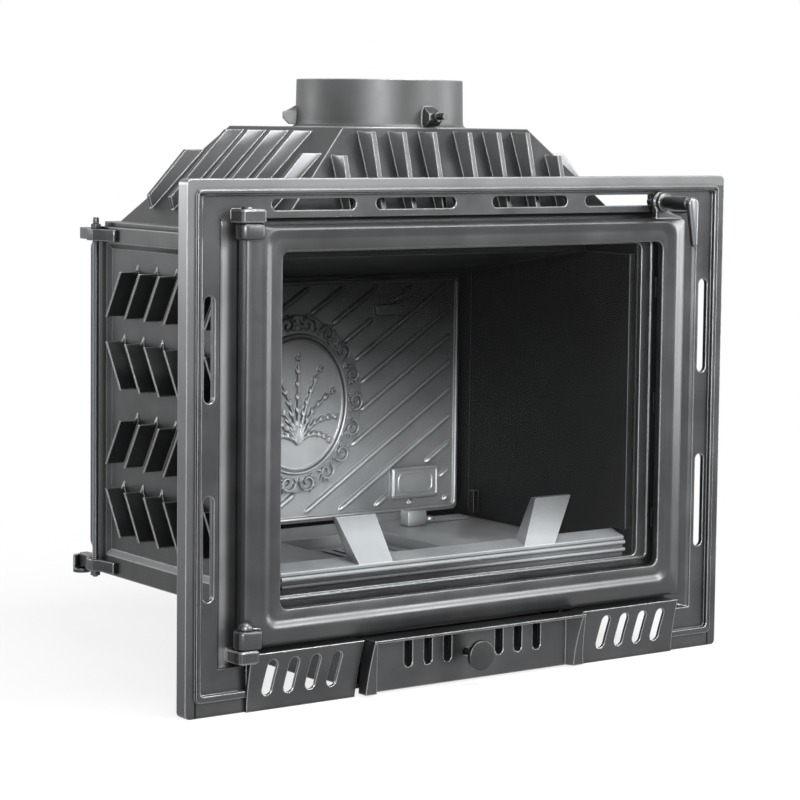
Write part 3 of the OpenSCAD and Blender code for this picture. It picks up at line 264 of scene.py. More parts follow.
    def paint_bead_shadow(self) -> None:
        """Paints the shadow that lies along the outside of the front frame's bead, on its shaded flank."""
        outer = self.within(**self.OUTSIDE_OF_BEAD_SHADOW)
        across, level = self.within(**self.INSIDE_OF_BEAD_SHADOW)
        # One minus the product of both is nought on the bead's inner side
        beyond = add_node(self.tree, "ShaderNodeMath", {0: across, 1: level}, operation="MULTIPLY")
        bead_shadow = add_node(self.tree, "ShaderNodeMath", {0: 1.0, 1: beyond.outputs[0]}, operation="SUBTRACT")
        self.lay(srgb("#0c0c0d"), *outer, bead_shadow.outputs[0], 0.9)

    def paint_cove_light(self) -> None:
        """Paints light and shade across the cove beside the hinges: a painted shadow in its corner, a
        painted highlight on its rising wall and painted shade towards the door.
        """
        across = add_node(self.tree, "ShaderNodeMapRange", {
            "Value": self.x, "From Min": self.COVE_WIDTH[0] * MM,
            "From Max": self.COVE_WIDTH[1] * MM}).outputs[0]
        share, grey = (add_node(self.tree, "ShaderNodeValToRGB", {0: across}, stops).outputs["Color"]
                       for stops in (self.COVE_SHARE, self.COVE_GREY))
        self.lay(grey, *self.within(**self.COVE), share)

    def paint_fin_highlight(self) -> None:
        """Paints a highlight on the upright faces of the hood's fins, growing towards their tops."""
        face = add_node(self.tree, "ShaderNodeNewGeometry").outputs["Normal"]
        lean = add_node(self.tree, "ShaderNodeSeparateXYZ", {0: face}).outputs[2]
        # Faces within seven degrees of upright
        upright = add_node(self.tree, "ShaderNodeMath", {0: lean, 1: 0.0, 2: 0.12}, operation="COMPARE")
        height = add_node(self.tree, "ShaderNodeMapRange", {
            "Value": self.z, "From Min": self.FIN_RISE[0] * MM,
            "From Max": self.FIN_RISE[1] * MM}).outputs[0]
        share = add_node(self.tree, "ShaderNodeValToRGB", {0: height}, self.FIN_SHARE)
        self.lay(srgb("#a6a7a9"), upright.outputs[0], share.outputs["Color"])

    def paint_firebox_shade(self) -> None:
        """Paints shade over the walls' inner faces inside the firebox."""
        self.lay(srgb(SHADE_DARK), *self.within(**self.FIREBOX))

    def paint_upper_shade(self, heights: Flat) -> None:
        """Paints shade over the upper part of a casting and a painted shadow over the left of the hearth.

        Args:
            heights: Where the painted shade starts and where it is darkest, in millimetres.
        """
        # The painted shade reaches a little lower on the right
        lean = add_node(self.tree, "ShaderNodeMath", {0: self.x, 1: 0.1, 2: self.z},
                        operation="MULTIPLY_ADD")
        height = add_node(self.tree, "ShaderNodeMapRange", {
            "Value": lean.outputs[0], "From Min": heights[0] * MM, "From Max": heights[1] * MM})
        shade_ramp = add_node(self.tree, "ShaderNodeValToRGB", {0: height.outputs[0]}, self.SHADE_GREY)
        self.lay(shade_ramp.outputs["Color"], blend="MULTIPLY")
        left = add_node(self.tree, "ShaderNodeMapRange", {
            "Value": self.x, "From Min": self.HEARTH_WIDTH[0] * MM,
            "From Max": self.HEARTH_WIDTH[1] * MM, "To Min": 0.86, "To Max": 0.0})
        self.lay(srgb(SHADE_DARK), *self.within(**self.HEARTH), left.outputs[0])


@dataclass(frozen=True)
class CastIron:
    """Grey cast iron from a sand mould under thin heat-proof paint.

    The eye sees a satin grey with a fine sandy grit. Painted shade darkens the hollows and a
    painted highlight brightens the edges; some finishes also get painted highlights and painted
    shade in given places.
    """

    name: str
    dark: str
    light: str
    # Colour of the painted highlight along the edges
    edge: str
    roughness: float
    metallic: float
    grit_mm: float
    grit_depth_mm: float
    edge_mm: float
    # Reach of the painted shade in hollows; colour of the painted highlight on the frame's band, which
    # also brings the painted bead shadow and the painted cove light; whether the painted fin highlight and
    # firebox shade are laid; heights of the painted shade up a casting
    hollow_mm: float = 14.0
    band_highlight: Optional[str] = None
    fin_highlight_and_firebox_shade: bool = False
    upper_shade_heights: Optional[Flat] = None

    def build(self) -> bpy.types.Material:
        """Makes the material.

        Returns:
            The material.
        """
        material, tree = new_material(self.name)
        place = add_node(tree, "ShaderNodeTexCoord").outputs["Object"]
        # The real grit is about 0.4 mm and is drawn coarser so that it shows
        grit = add_node(tree, "ShaderNodeTexNoise", {
            "Vector": place, "Scale": 1 / (self.grit_mm * MM), "Detail": 3.0, "Roughness": 0.6})
        # The moulding sand leaves patches about 60 mm wide
        patches = add_node(tree, "ShaderNodeTexNoise", {
            "Vector": place, "Scale": 1 / (60 * MM), "Detail": 4.0, "Roughness": 0.55})
        tone = add_node(tree, "ShaderNodeMath", {
            0: grit.outputs["Fac"], 1: 0.35, 2: patches.outputs["Fac"]}, operation="MULTIPLY_ADD")
        gloss = add_node(tree, "ShaderNodeMapRange", {
            "Value": patches.outputs["Fac"], "From Min": 0.3, "From Max": 0.7,
            "To Min": self.roughness - 0.05, "To Max": self.roughness + 0.06})
        edge = add_node(tree, "ShaderNodeBevel", {"Radius": self.edge_mm * MM}, samples=4)
        share = add_node(tree, "ShaderNodeValToRGB", {0: tone.outputs[0]}, ((0.45, 0.0), (0.9, 1.0)))
        surface = Surface(tree, place, srgb(self.dark))
        surface.lay(srgb(self.light), share.outputs["Color"])
        # Lays the painted highlights and painted shade over the colour
        self.age(surface, edge.outputs["Normal"])
        bump = add_node(tree, "ShaderNodeBump", {
            "Height": grit.outputs["Fac"], "Normal": edge.outputs["Normal"], "Strength": 0.5,
            "Distance": self.grit_depth_mm * MM})
        shader = add_node(tree, "ShaderNodeBsdfPrincipled", {
            "Base Color": surface.colour, "Roughness": gloss.outputs[0],
            "Normal": bump.outputs["Normal"], "Metallic": self.metallic})
        add_node(tree, "ShaderNodeOutputMaterial", {0: shader.outputs[0]})
        return material

    def age(self, surface: Surface, rounded: Any) -> None:
        """Lays painted highlights and painted shade over the paint.

        Args:
            surface: The painted surface.
            rounded: Socket with the normal that rounds the edges.
        """
        if self.band_highlight:
            surface.paint_band_highlight(self.band_highlight)
            surface.paint_bead_shadow()
        surface.paint_edge_highlight(rounded, self.edge)
        surface.paint_hollow_shade(self.hollow_mm)
        if self.band_highlight:
            surface.paint_cove_light()
        if self.fin_highlight_and_firebox_shade:
            surface.paint_fin_highlight()
            surface.paint_firebox_shade()
        if self.upper_shade_heights:
            surface.paint_upper_shade(self.upper_shade_heights)


@dataclass(frozen=True)
class RolledSteel:
    """Plain steel, drawn or rolled, with fine lines along one direction.

    The eye sees a soft metallic sheen that changes slightly from line to line.
    """

    name: str
    colour: str
    roughness: float
    line_mm: float
    lines_along: Point

    def build(self) -> bpy.types.Material:
        """Makes the material.

        Returns:
            The material.
        """
        material, tree = new_material(self.name)
        place = add_node(tree, "ShaderNodeTexCoord").outputs["Object"]
        # Each line is 25 times as long as it is wide
        scale = [1 / (self.line_mm * MM) * (0.04 if along else 1.0) for along in self.lines_along]
        mapped = add_node(tree, "ShaderNodeMapping", {"Vector": place, "Scale": scale})
        lines = add_node(tree, "ShaderNodeTexNoise", {
            "Vector": mapped.outputs[0], "Scale": 1.0, "Detail": 2.0}).outputs["Fac"]
        base = Vector(srgb(self.colour)[:3])
        colour = add_node(tree, "ShaderNodeMix", {
            FACTOR: lines, UNDER: (*(base * 0.8), 1.0), OVER: (*(base * 1.2), 1.0)}, data_type="RGBA")
        gloss = add_node(tree, "ShaderNodeMapRange", {
            "Value": lines, "To Min": self.roughness - 0.08, "To Max": self.roughness + 0.08})
        edge = add_node(tree, "ShaderNodeBevel", {"Radius": 0.4 * MM}, samples=4)
        bump = add_node(tree, "ShaderNodeBump", {
            "Height": lines, "Normal": edge.outputs["Normal"], "Strength": 0.2, "Distance": 0.05 * MM})
        shader = add_node(tree, "ShaderNodeBsdfPrincipled", {
            "Base Color": colour.outputs[MIXED], "Roughness": gloss.outputs[0],
            "Normal": bump.outputs["Normal"], "Metallic": 1.0})
        add_node(tree, "ShaderNodeOutputMaterial", {0: shader.outputs[0]})
        return material


@dataclass(frozen=True)
class CeramicGlass:
    """Clear ceramic stove glass, fire-polished, with faint cloudy haze.

    The eye sees through it nearly unchanged, with a soft reflection over it.
    """

    name: str
    tint: str
    roughness: float

    def build(self) -> bpy.types.Material:
        """Makes the material.

        Returns:
            The material.
        """
        material, tree = new_material(self.name)
        place = add_node(tree, "ShaderNodeTexCoord").outputs["Object"]
        haze = add_node(tree, "ShaderNodeTexNoise", {
            "Vector": place, "Scale": 1 / (120 * MM), "Detail": 3.0})
        gloss = add_node(tree, "ShaderNodeMapRange", {
            "Value": haze.outputs["Fac"], "To Min": self.roughness, "To Max": self.roughness + 0.03})
        coat = add_node(tree, "ShaderNodeBsdfGlossy", {"Roughness": gloss.outputs[0], "Color": WHITE})
        clear = add_node(tree, "ShaderNodeBsdfTransparent", {"Color": srgb(self.tint)})
        facing = add_node(tree, "ShaderNodeFresnel", {"IOR": 1.5})
        # The photograph's glass shows hardly any reflection, so only a little of it is kept
        share = add_node(tree, "ShaderNodeMath", {0: facing.outputs[0], 1: 0.03}, operation="MULTIPLY")
        mix = add_node(tree, "ShaderNodeMixShader", {
            0: share.outputs[0], 1: clear.outputs[0], 2: coat.outputs[0]})
        add_node(tree, "ShaderNodeOutputMaterial", {0: mix.outputs[0]})
        return material


@dataclass(frozen=True)
class GlassRope:
    """Knitted glass-fibre rope, dyed dark.

    The eye sees a dull grey cord with slanting strands.
    """

    name: str
    colour: str
    strand_mm: float

    def build(self) -> bpy.types.Material:
        """Makes the material.

        Returns:
            The material.
        """
        material, tree = new_material(self.name)
        place = add_node(tree, "ShaderNodeTexCoord").outputs["Object"]
        strands = add_node(tree, "ShaderNodeTexWave", {
            "Vector": place, "Scale": 1 / (self.strand_mm * MM) / 6, "Distortion": 1.5},
            bands_direction="DIAGONAL").outputs["Fac"]
        base = Vector(srgb(self.colour)[:3])
        colour = add_node(tree, "ShaderNodeMix", {
            FACTOR: strands, UNDER: (*(base * 0.5), 1.0), OVER: (*(base * 1.3), 1.0)}, data_type="RGBA")
        bump = add_node(tree, "ShaderNodeBump", {
            "Height": strands, "Strength": 0.8, "Distance": 0.6 * MM})
        shader = add_node(tree, "ShaderNodeBsdfPrincipled", {
            "Base Color": colour.outputs[MIXED], "Normal": bump.outputs["Normal"], "Roughness": 0.9})
        add_node(tree, "ShaderNodeOutputMaterial", {0: shader.outputs[0]})
        return material


class Finish(Enum):
    """Names of the finishes that a piece can have."""

    FRAME_IRON = "frame_iron"
    BODY_IRON = "body_iron"
    LINING_IRON = "lining_iron"
    BURNT_IRON = "burnt_iron"
    COLLAR_IRON = "collar_iron"
    KNOB_IRON = "knob_iron"
    SHADE_DARK_IRON = "sooted_iron"
    SHEET_STEEL = "sheet_steel"
    BOLT_STEEL = "bolt_steel"
    LEVER_STEEL = "lever_steel"
    STOVE_GLASS = "stove_glass"
    ROPE_SEAL = "rope_seal"


@dataclass
class FinishBook:
    """All finishes of the insert, each made once."""

    made: Dict[Finish, bpy.types.Material] = field(default_factory=dict)

    # The fourth colour of each cast iron is its painted edge highlight
    RECIPES = {
        Finish.FRAME_IRON: CastIron("satin_painted_cast_iron", "#434445", "#4f5051", "#b4b5b7",
                                    0.33, 0.9, 1.6, 0.02, 2.0, hollow_mm=5.0, band_highlight="#6f7071"),
        Finish.BODY_IRON: CastIron("rough_painted_cast_iron", "#353637", "#464748", "#b4b5b7",
                                   0.36, 0.85, 2.2, 0.04, 2.4, hollow_mm=24.0, fin_highlight_and_firebox_shade=True),
        Finish.LINING_IRON: CastIron("bare_cast_iron", "#b8b9bb", "#cccdcf", "#f4f5f7",
                                     0.42, 0.65, 2.0, 0.04, 1.6, upper_shade_heights=(150.0, 450.0)),
        Finish.BURNT_IRON: CastIron("burnt_cast_iron", "#78797b", "#8a8b8d", "#cccdcf",
                                    0.55, 0.4, 2.0, 0.04, 1.6, upper_shade_heights=(125.0, 270.0)),
        Finish.COLLAR_IRON: CastIron("matt_painted_cast_iron", "#484949", "#505152", "#b4b5b7",
                                     0.47, 0.75, 2.2, 0.04, 2.4, hollow_mm=8.0),
        # Near-black iron whose darkness is painted shade
        Finish.SHADE_DARK_IRON: CastIron("shade_dark_cast_iron", SHADE_DARK, "#262627", "#7c7c7e",
                                     0.5, 0.9, 2.0, 0.04, 1.2),
        Finish.KNOB_IRON: CastIron("smooth_dark_iron", "#3c3d3e", "#484949", "#7a7b7c",
                                   0.34, 1.0, 1.4, 0.02, 1.2),
        Finish.SHEET_STEEL: RolledSteel("rolled_sheet_steel", "#707274", 0.38, 0.8, (1.0, 0.0, 0.0)),
        Finish.BOLT_STEEL: RolledSteel("drawn_bolt_steel", "#5a5c5e", 0.36, 0.6, (0.0, 0.0, 1.0)),
        Finish.LEVER_STEEL: RolledSteel("forged_lever_steel", "#6c6e70", 0.34, 0.7, (0.0, 0.0, 1.0)),
        Finish.STOVE_GLASS: CeramicGlass("ceramic_stove_glass", "#fcfdfd", 0.02),
        Finish.ROPE_SEAL: GlassRope("knitted_glass_rope", "#4a4a48", 3.0),
    }

    def dress(self, piece: bpy.types.Object, finish: Finish) -> None:
        """Gives a piece one finish in its only material slot.

        Args:
            piece: The piece.
            finish: Its finish, which is made the first time.
        """
        if finish not in self.made:
            self.made[finish] = self.RECIPES[finish].build()
        piece.data.materials.clear()
        piece.data.materials.append(self.made[finish])


@dataclass
class Studio:
    """Pale floor, soft lamps and the camera of the photograph."""

    camera_place: Point = (-1820.4, -2391.1, 655.7)
    yaw_deg: float = 35.663
    pitch_deg: float = 4.862
    roll_deg: float = 0.656
    lens_mm: float = 117.57
    rise: float = -0.0789
    floor_m: float = 40.0

    # Name, place, the point it faces, width and height, all in metres, and watts of each lamp
    LAMPS = (
        ("left_softbox", (-2.1, 2.5, 1.2), (0.0, 0.0, 0.35), (0.6, 1.4), 37.0),
        ("top_softbox", (0.1, -1.3, 2.6), (0.0, 0.0, 0.35), (1.8, 0.9), 75.0),
        ("side_softbox", (2.9, -1.1, 0.7), (0.0, 0.0, 0.3), (0.5, 1.3), 44.0),
        ("right_softbox", (1.7, -2.7, 1.5), (0.0, 0.0, 0.4), (0.9, 0.6), 66.0),
        ("front_softbox", (-1.8, -2.6, 1.0), (0.05, 0.0, 0.15), (0.9, 0.7), 100.0))

    def build(self) -> None:
        """Makes the camera, lamps, world and floor."""
        self.make_camera()
        self.make_lamps()
        self.make_world()
        self.make_floor()

    def make_camera(self) -> None:
        """Places the camera where the photograph was taken from."""
        yaw, pitch, roll = (math.radians(a) for a in (self.yaw_deg, self.pitch_deg, self.roll_deg))
        ahead = Vector((math.sin(yaw) * math.cos(pitch), math.cos(yaw) * math.cos(pitch),
                        -math.sin(pitch)))
        right = Vector((math.cos(yaw), -math.sin(yaw), 0.0))
        up = right.cross(ahead)
        right, up = (math.cos(roll) * right + math.sin(roll) * up,
                     math.cos(roll) * up - math.sin(roll) * right)
        data = bpy.data.cameras.new("studio_camera")
        data.sensor_width = 36.0
        data.lens = self.lens_mm
        data.shift_y = self.rise
        data.clip_start, data.clip_end = 0.05, 100.0
        camera = add_object("studio_camera", data)
        turn = Matrix((right, up, -ahead)).transposed().to_4x4()
        place = Vector(self.camera_place) + Vector((0.0, CENTRE_Y, 0.0))
        camera.matrix_world = Matrix.Translation(place * MM) @ turn
        bpy.context.scene.camera = camera

    def make_lamps(self) -> None:
        """Lights the insert softly from both sides, from above and from the front."""
        for name, place, aim, size, watts in self.LAMPS:
            data = bpy.data.lights.new(name, "AREA")
            data.shape = "RECTANGLE"
            data.size, data.size_y = size
            data.energy = watts
            lamp = add_object(name, data)
            lamp.location = place
            lamp.rotation_euler = (Vector(aim) - Vector(place)).to_track_quat("-Z", "Y").to_euler()

    @staticmethod
    def seen(tree: bpy.types.NodeTree) -> Any:
        """Tests for rays that show a thing itself, its reflection or a view through glass.

        Args:
            tree: Node tree that gets the nodes.

        Returns:
            The socket that is one for these rays.
        """
        rays = add_node(tree, "ShaderNodeLightPath").outputs
        share = rays["Is Camera Ray"]
        for kind in ("Is Glossy Ray", "Is Transmission Ray"):
            share = add_node(tree, "ShaderNodeMath", {0: share, 1: rays[kind]},
                             operation="MAXIMUM").outputs[0]
        return share

    def make_world(self) -> None:
        """Shows white behind the insert and gives an even, weaker fill."""
        world = bpy.data.worlds.new("studio_world")
        world.use_nodes = True
        tree = world.node_tree
        tree.nodes.clear()
        fill = add_node(tree, "ShaderNodeBackground", {"Color": WHITE, "Strength": 0.19})
        white = add_node(tree, "ShaderNodeBackground", {"Color": WHITE, "Strength": 1.0})
        mix = add_node(tree, "ShaderNodeMixShader", {
            0: self.seen(tree), 1: fill.outputs[0], 2: white.outputs[0]})
        add_node(tree, "ShaderNodeOutputWorld", {0: mix.outputs[0]})
        bpy.context.scene.world = world
        bpy.context.scene.view_settings.view_transform = "Standard"

    def make_floor(self) -> None:
        """Lays a pale floor that keeps the insert's shadow and turns white away from it."""
        material, tree = new_material("pale_floor")
        matt = add_node(tree, "ShaderNodeBsdfDiffuse", {"Color": (0.85, 0.85, 0.85, 1.0)})
        white = add_node(tree, "ShaderNodeEmission", {"Color": WHITE, "Strength": 1.0})
        place = add_node(tree, "ShaderNodeTexCoord").outputs["Object"]
        away = add_node(tree, "ShaderNodeVectorMath", {0: place}, operation="LENGTH")
        paling = add_node(tree, "ShaderNodeMapRange", {
            "Value": away.outputs["Value"], "From Min": 0.35, "From Max": 1.1, "To Min": 0.8})
        share = add_node(tree, "ShaderNodeMath", {0: self.seen(tree), 1: paling.outputs[0]},
                         operation="MULTIPLY")
        mix = add_node(tree, "ShaderNodeMixShader", {
            0: share.outputs[0], 1: matt.outputs[0], 2: white.outputs[0]})
        add_node(tree, "ShaderNodeOutputMaterial", {0: mix.outputs[0]})
        mesh = bpy.data.meshes.new("studio_floor")
        half = self.floor_m / 2
        mesh.from_pydata([(-half, -half, 0), (half, -half, 0), (half, half, 0), (-half, half, 0)],
                         [], [(0, 1, 2, 3)])
        floor = add_object("studio_floor", mesh)
        mesh.materials.append(material)


def full_turn(steps: int) -> List[float]:
    """Gives the angles of evenly spaced steps round a circle."""
    return [2 * math.pi * i / steps for i in range(steps)]


def crossways(back: Flat, ahead: Flat) -> Flat:
    """Gives the direction of length one across the way from one point to another."""
    length = math.hypot(ahead[0] - back[0], ahead[1] - back[1]) or 1.0
    return ((back[1] - ahead[1]) / length, (ahead[0] - back[0]) / length)


def round_outline(left: float, right: float, low: float, high: float, radius: float,
                  steps: int = 8) -> List[Flat]:
    """Gives a rectangle with round corners.

    Args:
        left: Least value across.
        right: Greatest value across.
        low: Least value up.
        high: Greatest value up.
        radius: Radius of the corners.
        steps: Number of straight pieces in a corner.

    Returns:
        The outline's points, anticlockwise.
    """
    r = max(min(radius, (right - left) / 2 - 0.01, (high - low) / 2 - 0.01), 0.01)
    corners = ((right - r, high - r, 0), (left + r, high - r, 90),
               (left + r, low + r, 180), (right - r, low + r, 270))
    points = []
    for across, up, start in corners:
        for i in range(steps + 1):
            angle = math.radians(start + 90 * i / steps)
            points.append((across + r * math.cos(angle), up + r * math.sin(angle)))
    return points


def add_piece(name: str, mesh: bpy.types.Mesh, sharp_deg: float) -> bpy.types.Object:
    """Smooths a mesh and puts it into the scene.

    Args:
        name: Name of the object.
        mesh: Its mesh.
        sharp_deg: Faces that meet at more than this angle keep a sharp edge.

    Returns:
        The object.
    """
    mesh.shade_smooth()
    mesh.set_sharp_from_angle(angle=math.radians(sharp_deg))
    return add_object(name, mesh)


@dataclass
class Moulder:
    """Gathers closed skins into one mesh."""

    points: List[Point] = field(default_factory=list)
    faces: List[Tuple[int, ...]] = field(default_factory=list)

    def skin(self, loops: Sequence[Sequence[Point]], ring: bool = False) -> None:
        """Joins closed outlines of equal length into a closed skin.

        Args:
            loops: Outlines from one end to the other.
            ring: Whether the last outline joins the first; otherwise both ends are capped.
        """
        base, count = len(self.points), len(loops[0])
        self.points.extend(point for loop in loops for point in loop)
        for i in range(len(loops) if ring else len(loops) - 1):
            a, b = base + i * count, base + (i + 1) % len(loops) * count
            for j in range(count):
                k = (j + 1) % count
                self.faces.append((a + j, a + k, b + k, b + j))
        if not ring:
            last = base + (len(loops) - 1) * count
            self.faces.append(tuple(range(base + count - 1, base - 1, -1)))
            self.faces.append(tuple(range(last, last + count)))

    def slab(self, outlines: Sequence[Tuple[float, Sequence[Flat]]]) -> None:
        """Adds a body from outlines in X and Z, each at its own Y."""
        self.skin([[(x, y, z) for x, z in outline] for y, outline in outlines])

    def column(self, outlines: Sequence[Tuple[float, Sequence[Flat]]]) -> None:
        """Adds a body from outlines in X and Y, each at its own Z."""
        self.skin([[(x, y, z) for x, y in outline] for z, outline in outlines])

    def turned(self, axis: Point, direction: str, profile: Sequence[Flat], ring: bool = False,
               steps: int = 32) -> None:
        """Adds a body of revolution.

        Args:
            axis: A point of its axis.
            direction: "y" or "z", the way the axis runs.
            profile: Radius and place along the axis of each line.
            ring: Whether the profile is closed in itself.
            steps: Number of straight pieces round the axis.
        """
        loops = []
        for radius, along in profile:
            turn = [(radius * math.cos(a), radius * math.sin(a)) for a in full_turn(steps)]
            if direction == "y":
                loops.append([(axis[0] + u, along, axis[2] + v) for u, v in turn])
            else:
                loops.append([(axis[0] + u, axis[1] + v, along) for u, v in turn])
        self.skin(loops, ring)

    def bead(self, path: Sequence[Flat], width: float, height: float, base_y: float,
             taper: float = 0.0, closed: bool = False) -> None:
        """Adds a half-round bead along a path in X and Z on an upright plate.

        Args:
            path: The points that the bead follows.
            width: Its width at the start.
            height: How far it stands out at the start.
            base_y: Y of the plate's face.
            taper: Share of width and height that is lost by the end.
            closed: Whether the path returns to its start.
        """
        loops, last = [], len(path) - 1
        # How deep the bead is rooted in the plate
        root = 0.6
        for i, (x, z) in enumerate(path):
            if closed:
                across = crossways(path[i - 1], path[(i + 1) % len(path)])
            else:
                across = crossways(path[max(i - 1, 0)], path[min(i + 1, last)])
            # Open ends are drawn in to about a third
            size = (1 - taper * i / last) * (1.0 if closed or 0 < i < last else 0.35)
            loop = []
            for k in range(9):
                angle = math.pi * k / 8
                side = width / 2 * size * math.cos(angle)
                rise = (height * size + root) * math.sin(angle)
                loop.append((x + across[0] * side, base_y + root - rise, z + across[1] * side))
            loops.append(loop)
        self.skin(loops, closed)

    def piece(self, name: str, sharp_deg: float = 32.0) -> bpy.types.Object:
        """Makes the gathered skins one smooth object.

        Args:
            name: Name of the object.
            sharp_deg: Faces that meet at more than this angle keep a sharp edge.

        Returns:
            The object, in place.
        """
        mesh = bpy.data.meshes.new(name)
        mesh.from_pydata([(x * MM, (y + CENTRE_Y) * MM, z * MM) for x, y, z in self.points],
                         [], self.faces)
        made = bmesh.new()
        made.from_mesh(mesh)
        bmesh.ops.recalc_face_normals(made, faces=made.faces)
        made.to_mesh(mesh)
        made.free()
        return add_piece(name, mesh, sharp_deg)


@dataclass
class Assembly:
    """Sub-assembly that takes its finishes from the book."""

    finishes: FinishBook

    def put_in_place(self, piece: bpy.types.Object, node: str, body: str, finish: Finish) -> None:
        """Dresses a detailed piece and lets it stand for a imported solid.

        Args:
            piece: The detailed piece.
            node: The solid that it replaces.
            body: The body that it moves with.
            finish: The finish that it takes.
        """
        self.finishes.dress(piece, finish)
        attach(piece, body)
        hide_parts(node)


@dataclass
class DoorCasting(Assembly):
    """Door frame: a raised rounded border round the glass, with lugs and a latch ear."""

    half_width: float = 315.0
    bottom: float = 72.0
    top: float = 534.5
    hinge: Flat = (-316.0, -12.0)
    lower_lug: float = 22.0
    upper_lug: Flat = (-14.8, 3.2)
    ear: Flat = (276.7, 554.0)

    # Inset from the left, right, bottom and top edge, corner radius and Y of each line
    # of the closed profile, from the rim's back over the front to the rebate
    PROFILE = (
        (0, 0, 0, 0, 4, 8), (0, 0, 0, 0, 5, -7.6), (0.4, 0.4, 0.4, 0.2, 6, -8.6),
        (1.4, 1.4, 1.2, 0.6, 7, -9.3), (6, 6, 5, 1.2, 10, -10.6), (11, 11, 9.5, 1.9, 14, -12.2),
        (15, 15, 13.2, 2.7, 17, -13.7), (17.6, 17.6, 15.6, 3.5, 18, -14.6),
        (19.6, 19.6, 17.4, 4.4, 18, -15.0), (21.6, 21.6, 19.2, 5.6, 17, -14.9),
        (23.6, 23.6, 21.2, 7.4, 16, -14.3), (26.4, 26.4, 23.8, 10.2, 14, -12.8),
        (29.0, 29.0, 26.2, 12.8, 13, -11.6), (30.8, 30.8, 27.8, 14.4, 12, -11.1),
        (32.4, 32.4, 29.4, 15.8, 12, -11.0), (43.6, 35.6, 37.6, 26.6, 10.8, -11.0),
        (44.6, 36.6, 38.6, 27.6, 10.2, -10.6), (45, 37, 39, 28, 10, -9.6), (45, 37, 39, 28, 10, -2.0),
        (36, 28, 34, 23, 3, -2.0), (36, 28, 34, 23, 3, 1.9), (29, 21, 30, 19, 3, 1.9),
        (29, 21, 30, 19, 3, -2.0), (6, 6, 6, 6, 3, -2.0), (6, 6, 6, 6, 3, 8))
    # How far the lugs reach from the hinge axis to the left, right, front and back
    LUG = (-12.0, 19.0, -10.0, 11.0)
    # Inset and height of each line of a lug's rounded edge
    LUG_EDGE = ((3.2, 0.0), (1.2, 0.8), (0.3, 1.9), (0.0, 3.2))
    # Radius and Y of each line of the ear's closed profile, from its bore outwards
    EAR = ((5.08, -1), (11.6, -1), (12.5, -2), (12.5, -6.4), (11.9, -7.3), (10.5, -7.7), (10.3, -9.2),
           (11.0, -9.7), (11.6, -10.5), (11.6, -14.2), (11.0, -15.3), (9.6, -15.9), (5.08, -16))

    def build(self) -> None:
        """Makes the door casting in place of its solid."""
        mould = Moulder()
        loops = []
        for left, right, low, high, radius, y in self.PROFILE:
            outline = round_outline(-self.half_width + left, self.half_width - right,
                                    self.bottom + low, self.top - high, radius)
            loops.append([(x, y, z) for x, z in outline])
        mould.skin(loops, ring=True)
        self.add_lug(mould, self.bottom, self.bottom + self.lower_lug)
        self.add_lug(mould, self.top + self.upper_lug[0], self.top + self.upper_lug[1])
        self.add_ear(mould)
        self.put_in_place(mould.piece("door_casting"), "door_frame", "door", Finish.FRAME_IRON)

    def add_lug(self, mould: Moulder, low: float, high: float) -> None:
        """Adds a rounded lug for a hinge pin.

        Args:
            mould: Mould that gets the lug.
            low: Height of its lower end.
            high: Height of its upper end.
        """
        x, y = self.hinge
        left, right, front, back = self.LUG
        steps = [(inset, low + up) for inset, up in self.LUG_EDGE]
        steps += [(inset, high - down) for inset, down in reversed(self.LUG_EDGE)]
        mould.column([(z, round_outline(x + left + inset, x + right - inset, y + front + inset, y + back,
                                        7 - inset / 2)) for inset, z in steps])

    def add_ear(self, mould: Moulder) -> None:
        """Adds the grooved ear of the latch and the web that carries it.

        Args:
            mould: Mould that gets both.
        """
        x, z = self.ear
        mould.turned((x, 0, z), "y", self.EAR, ring=True)
        web = [(x - 9, self.top - 3), (x + 34, self.top - 3), (x + 32.5, self.top + 1),
               (x + 22, self.top + 4.6), (x + 8, z - 9), (x - 9, z - 6)]
        middle = (x + 4, self.top + 2)
        mould.slab([(y, [(middle[0] + (u - middle[0]) * size, middle[1] + (v - middle[1]) * size)
                         for u, v in web])
                    for y, size in ((-1, 1.0), (-7.6, 1.0), (-8.6, 0.97), (-9, 0.9))])


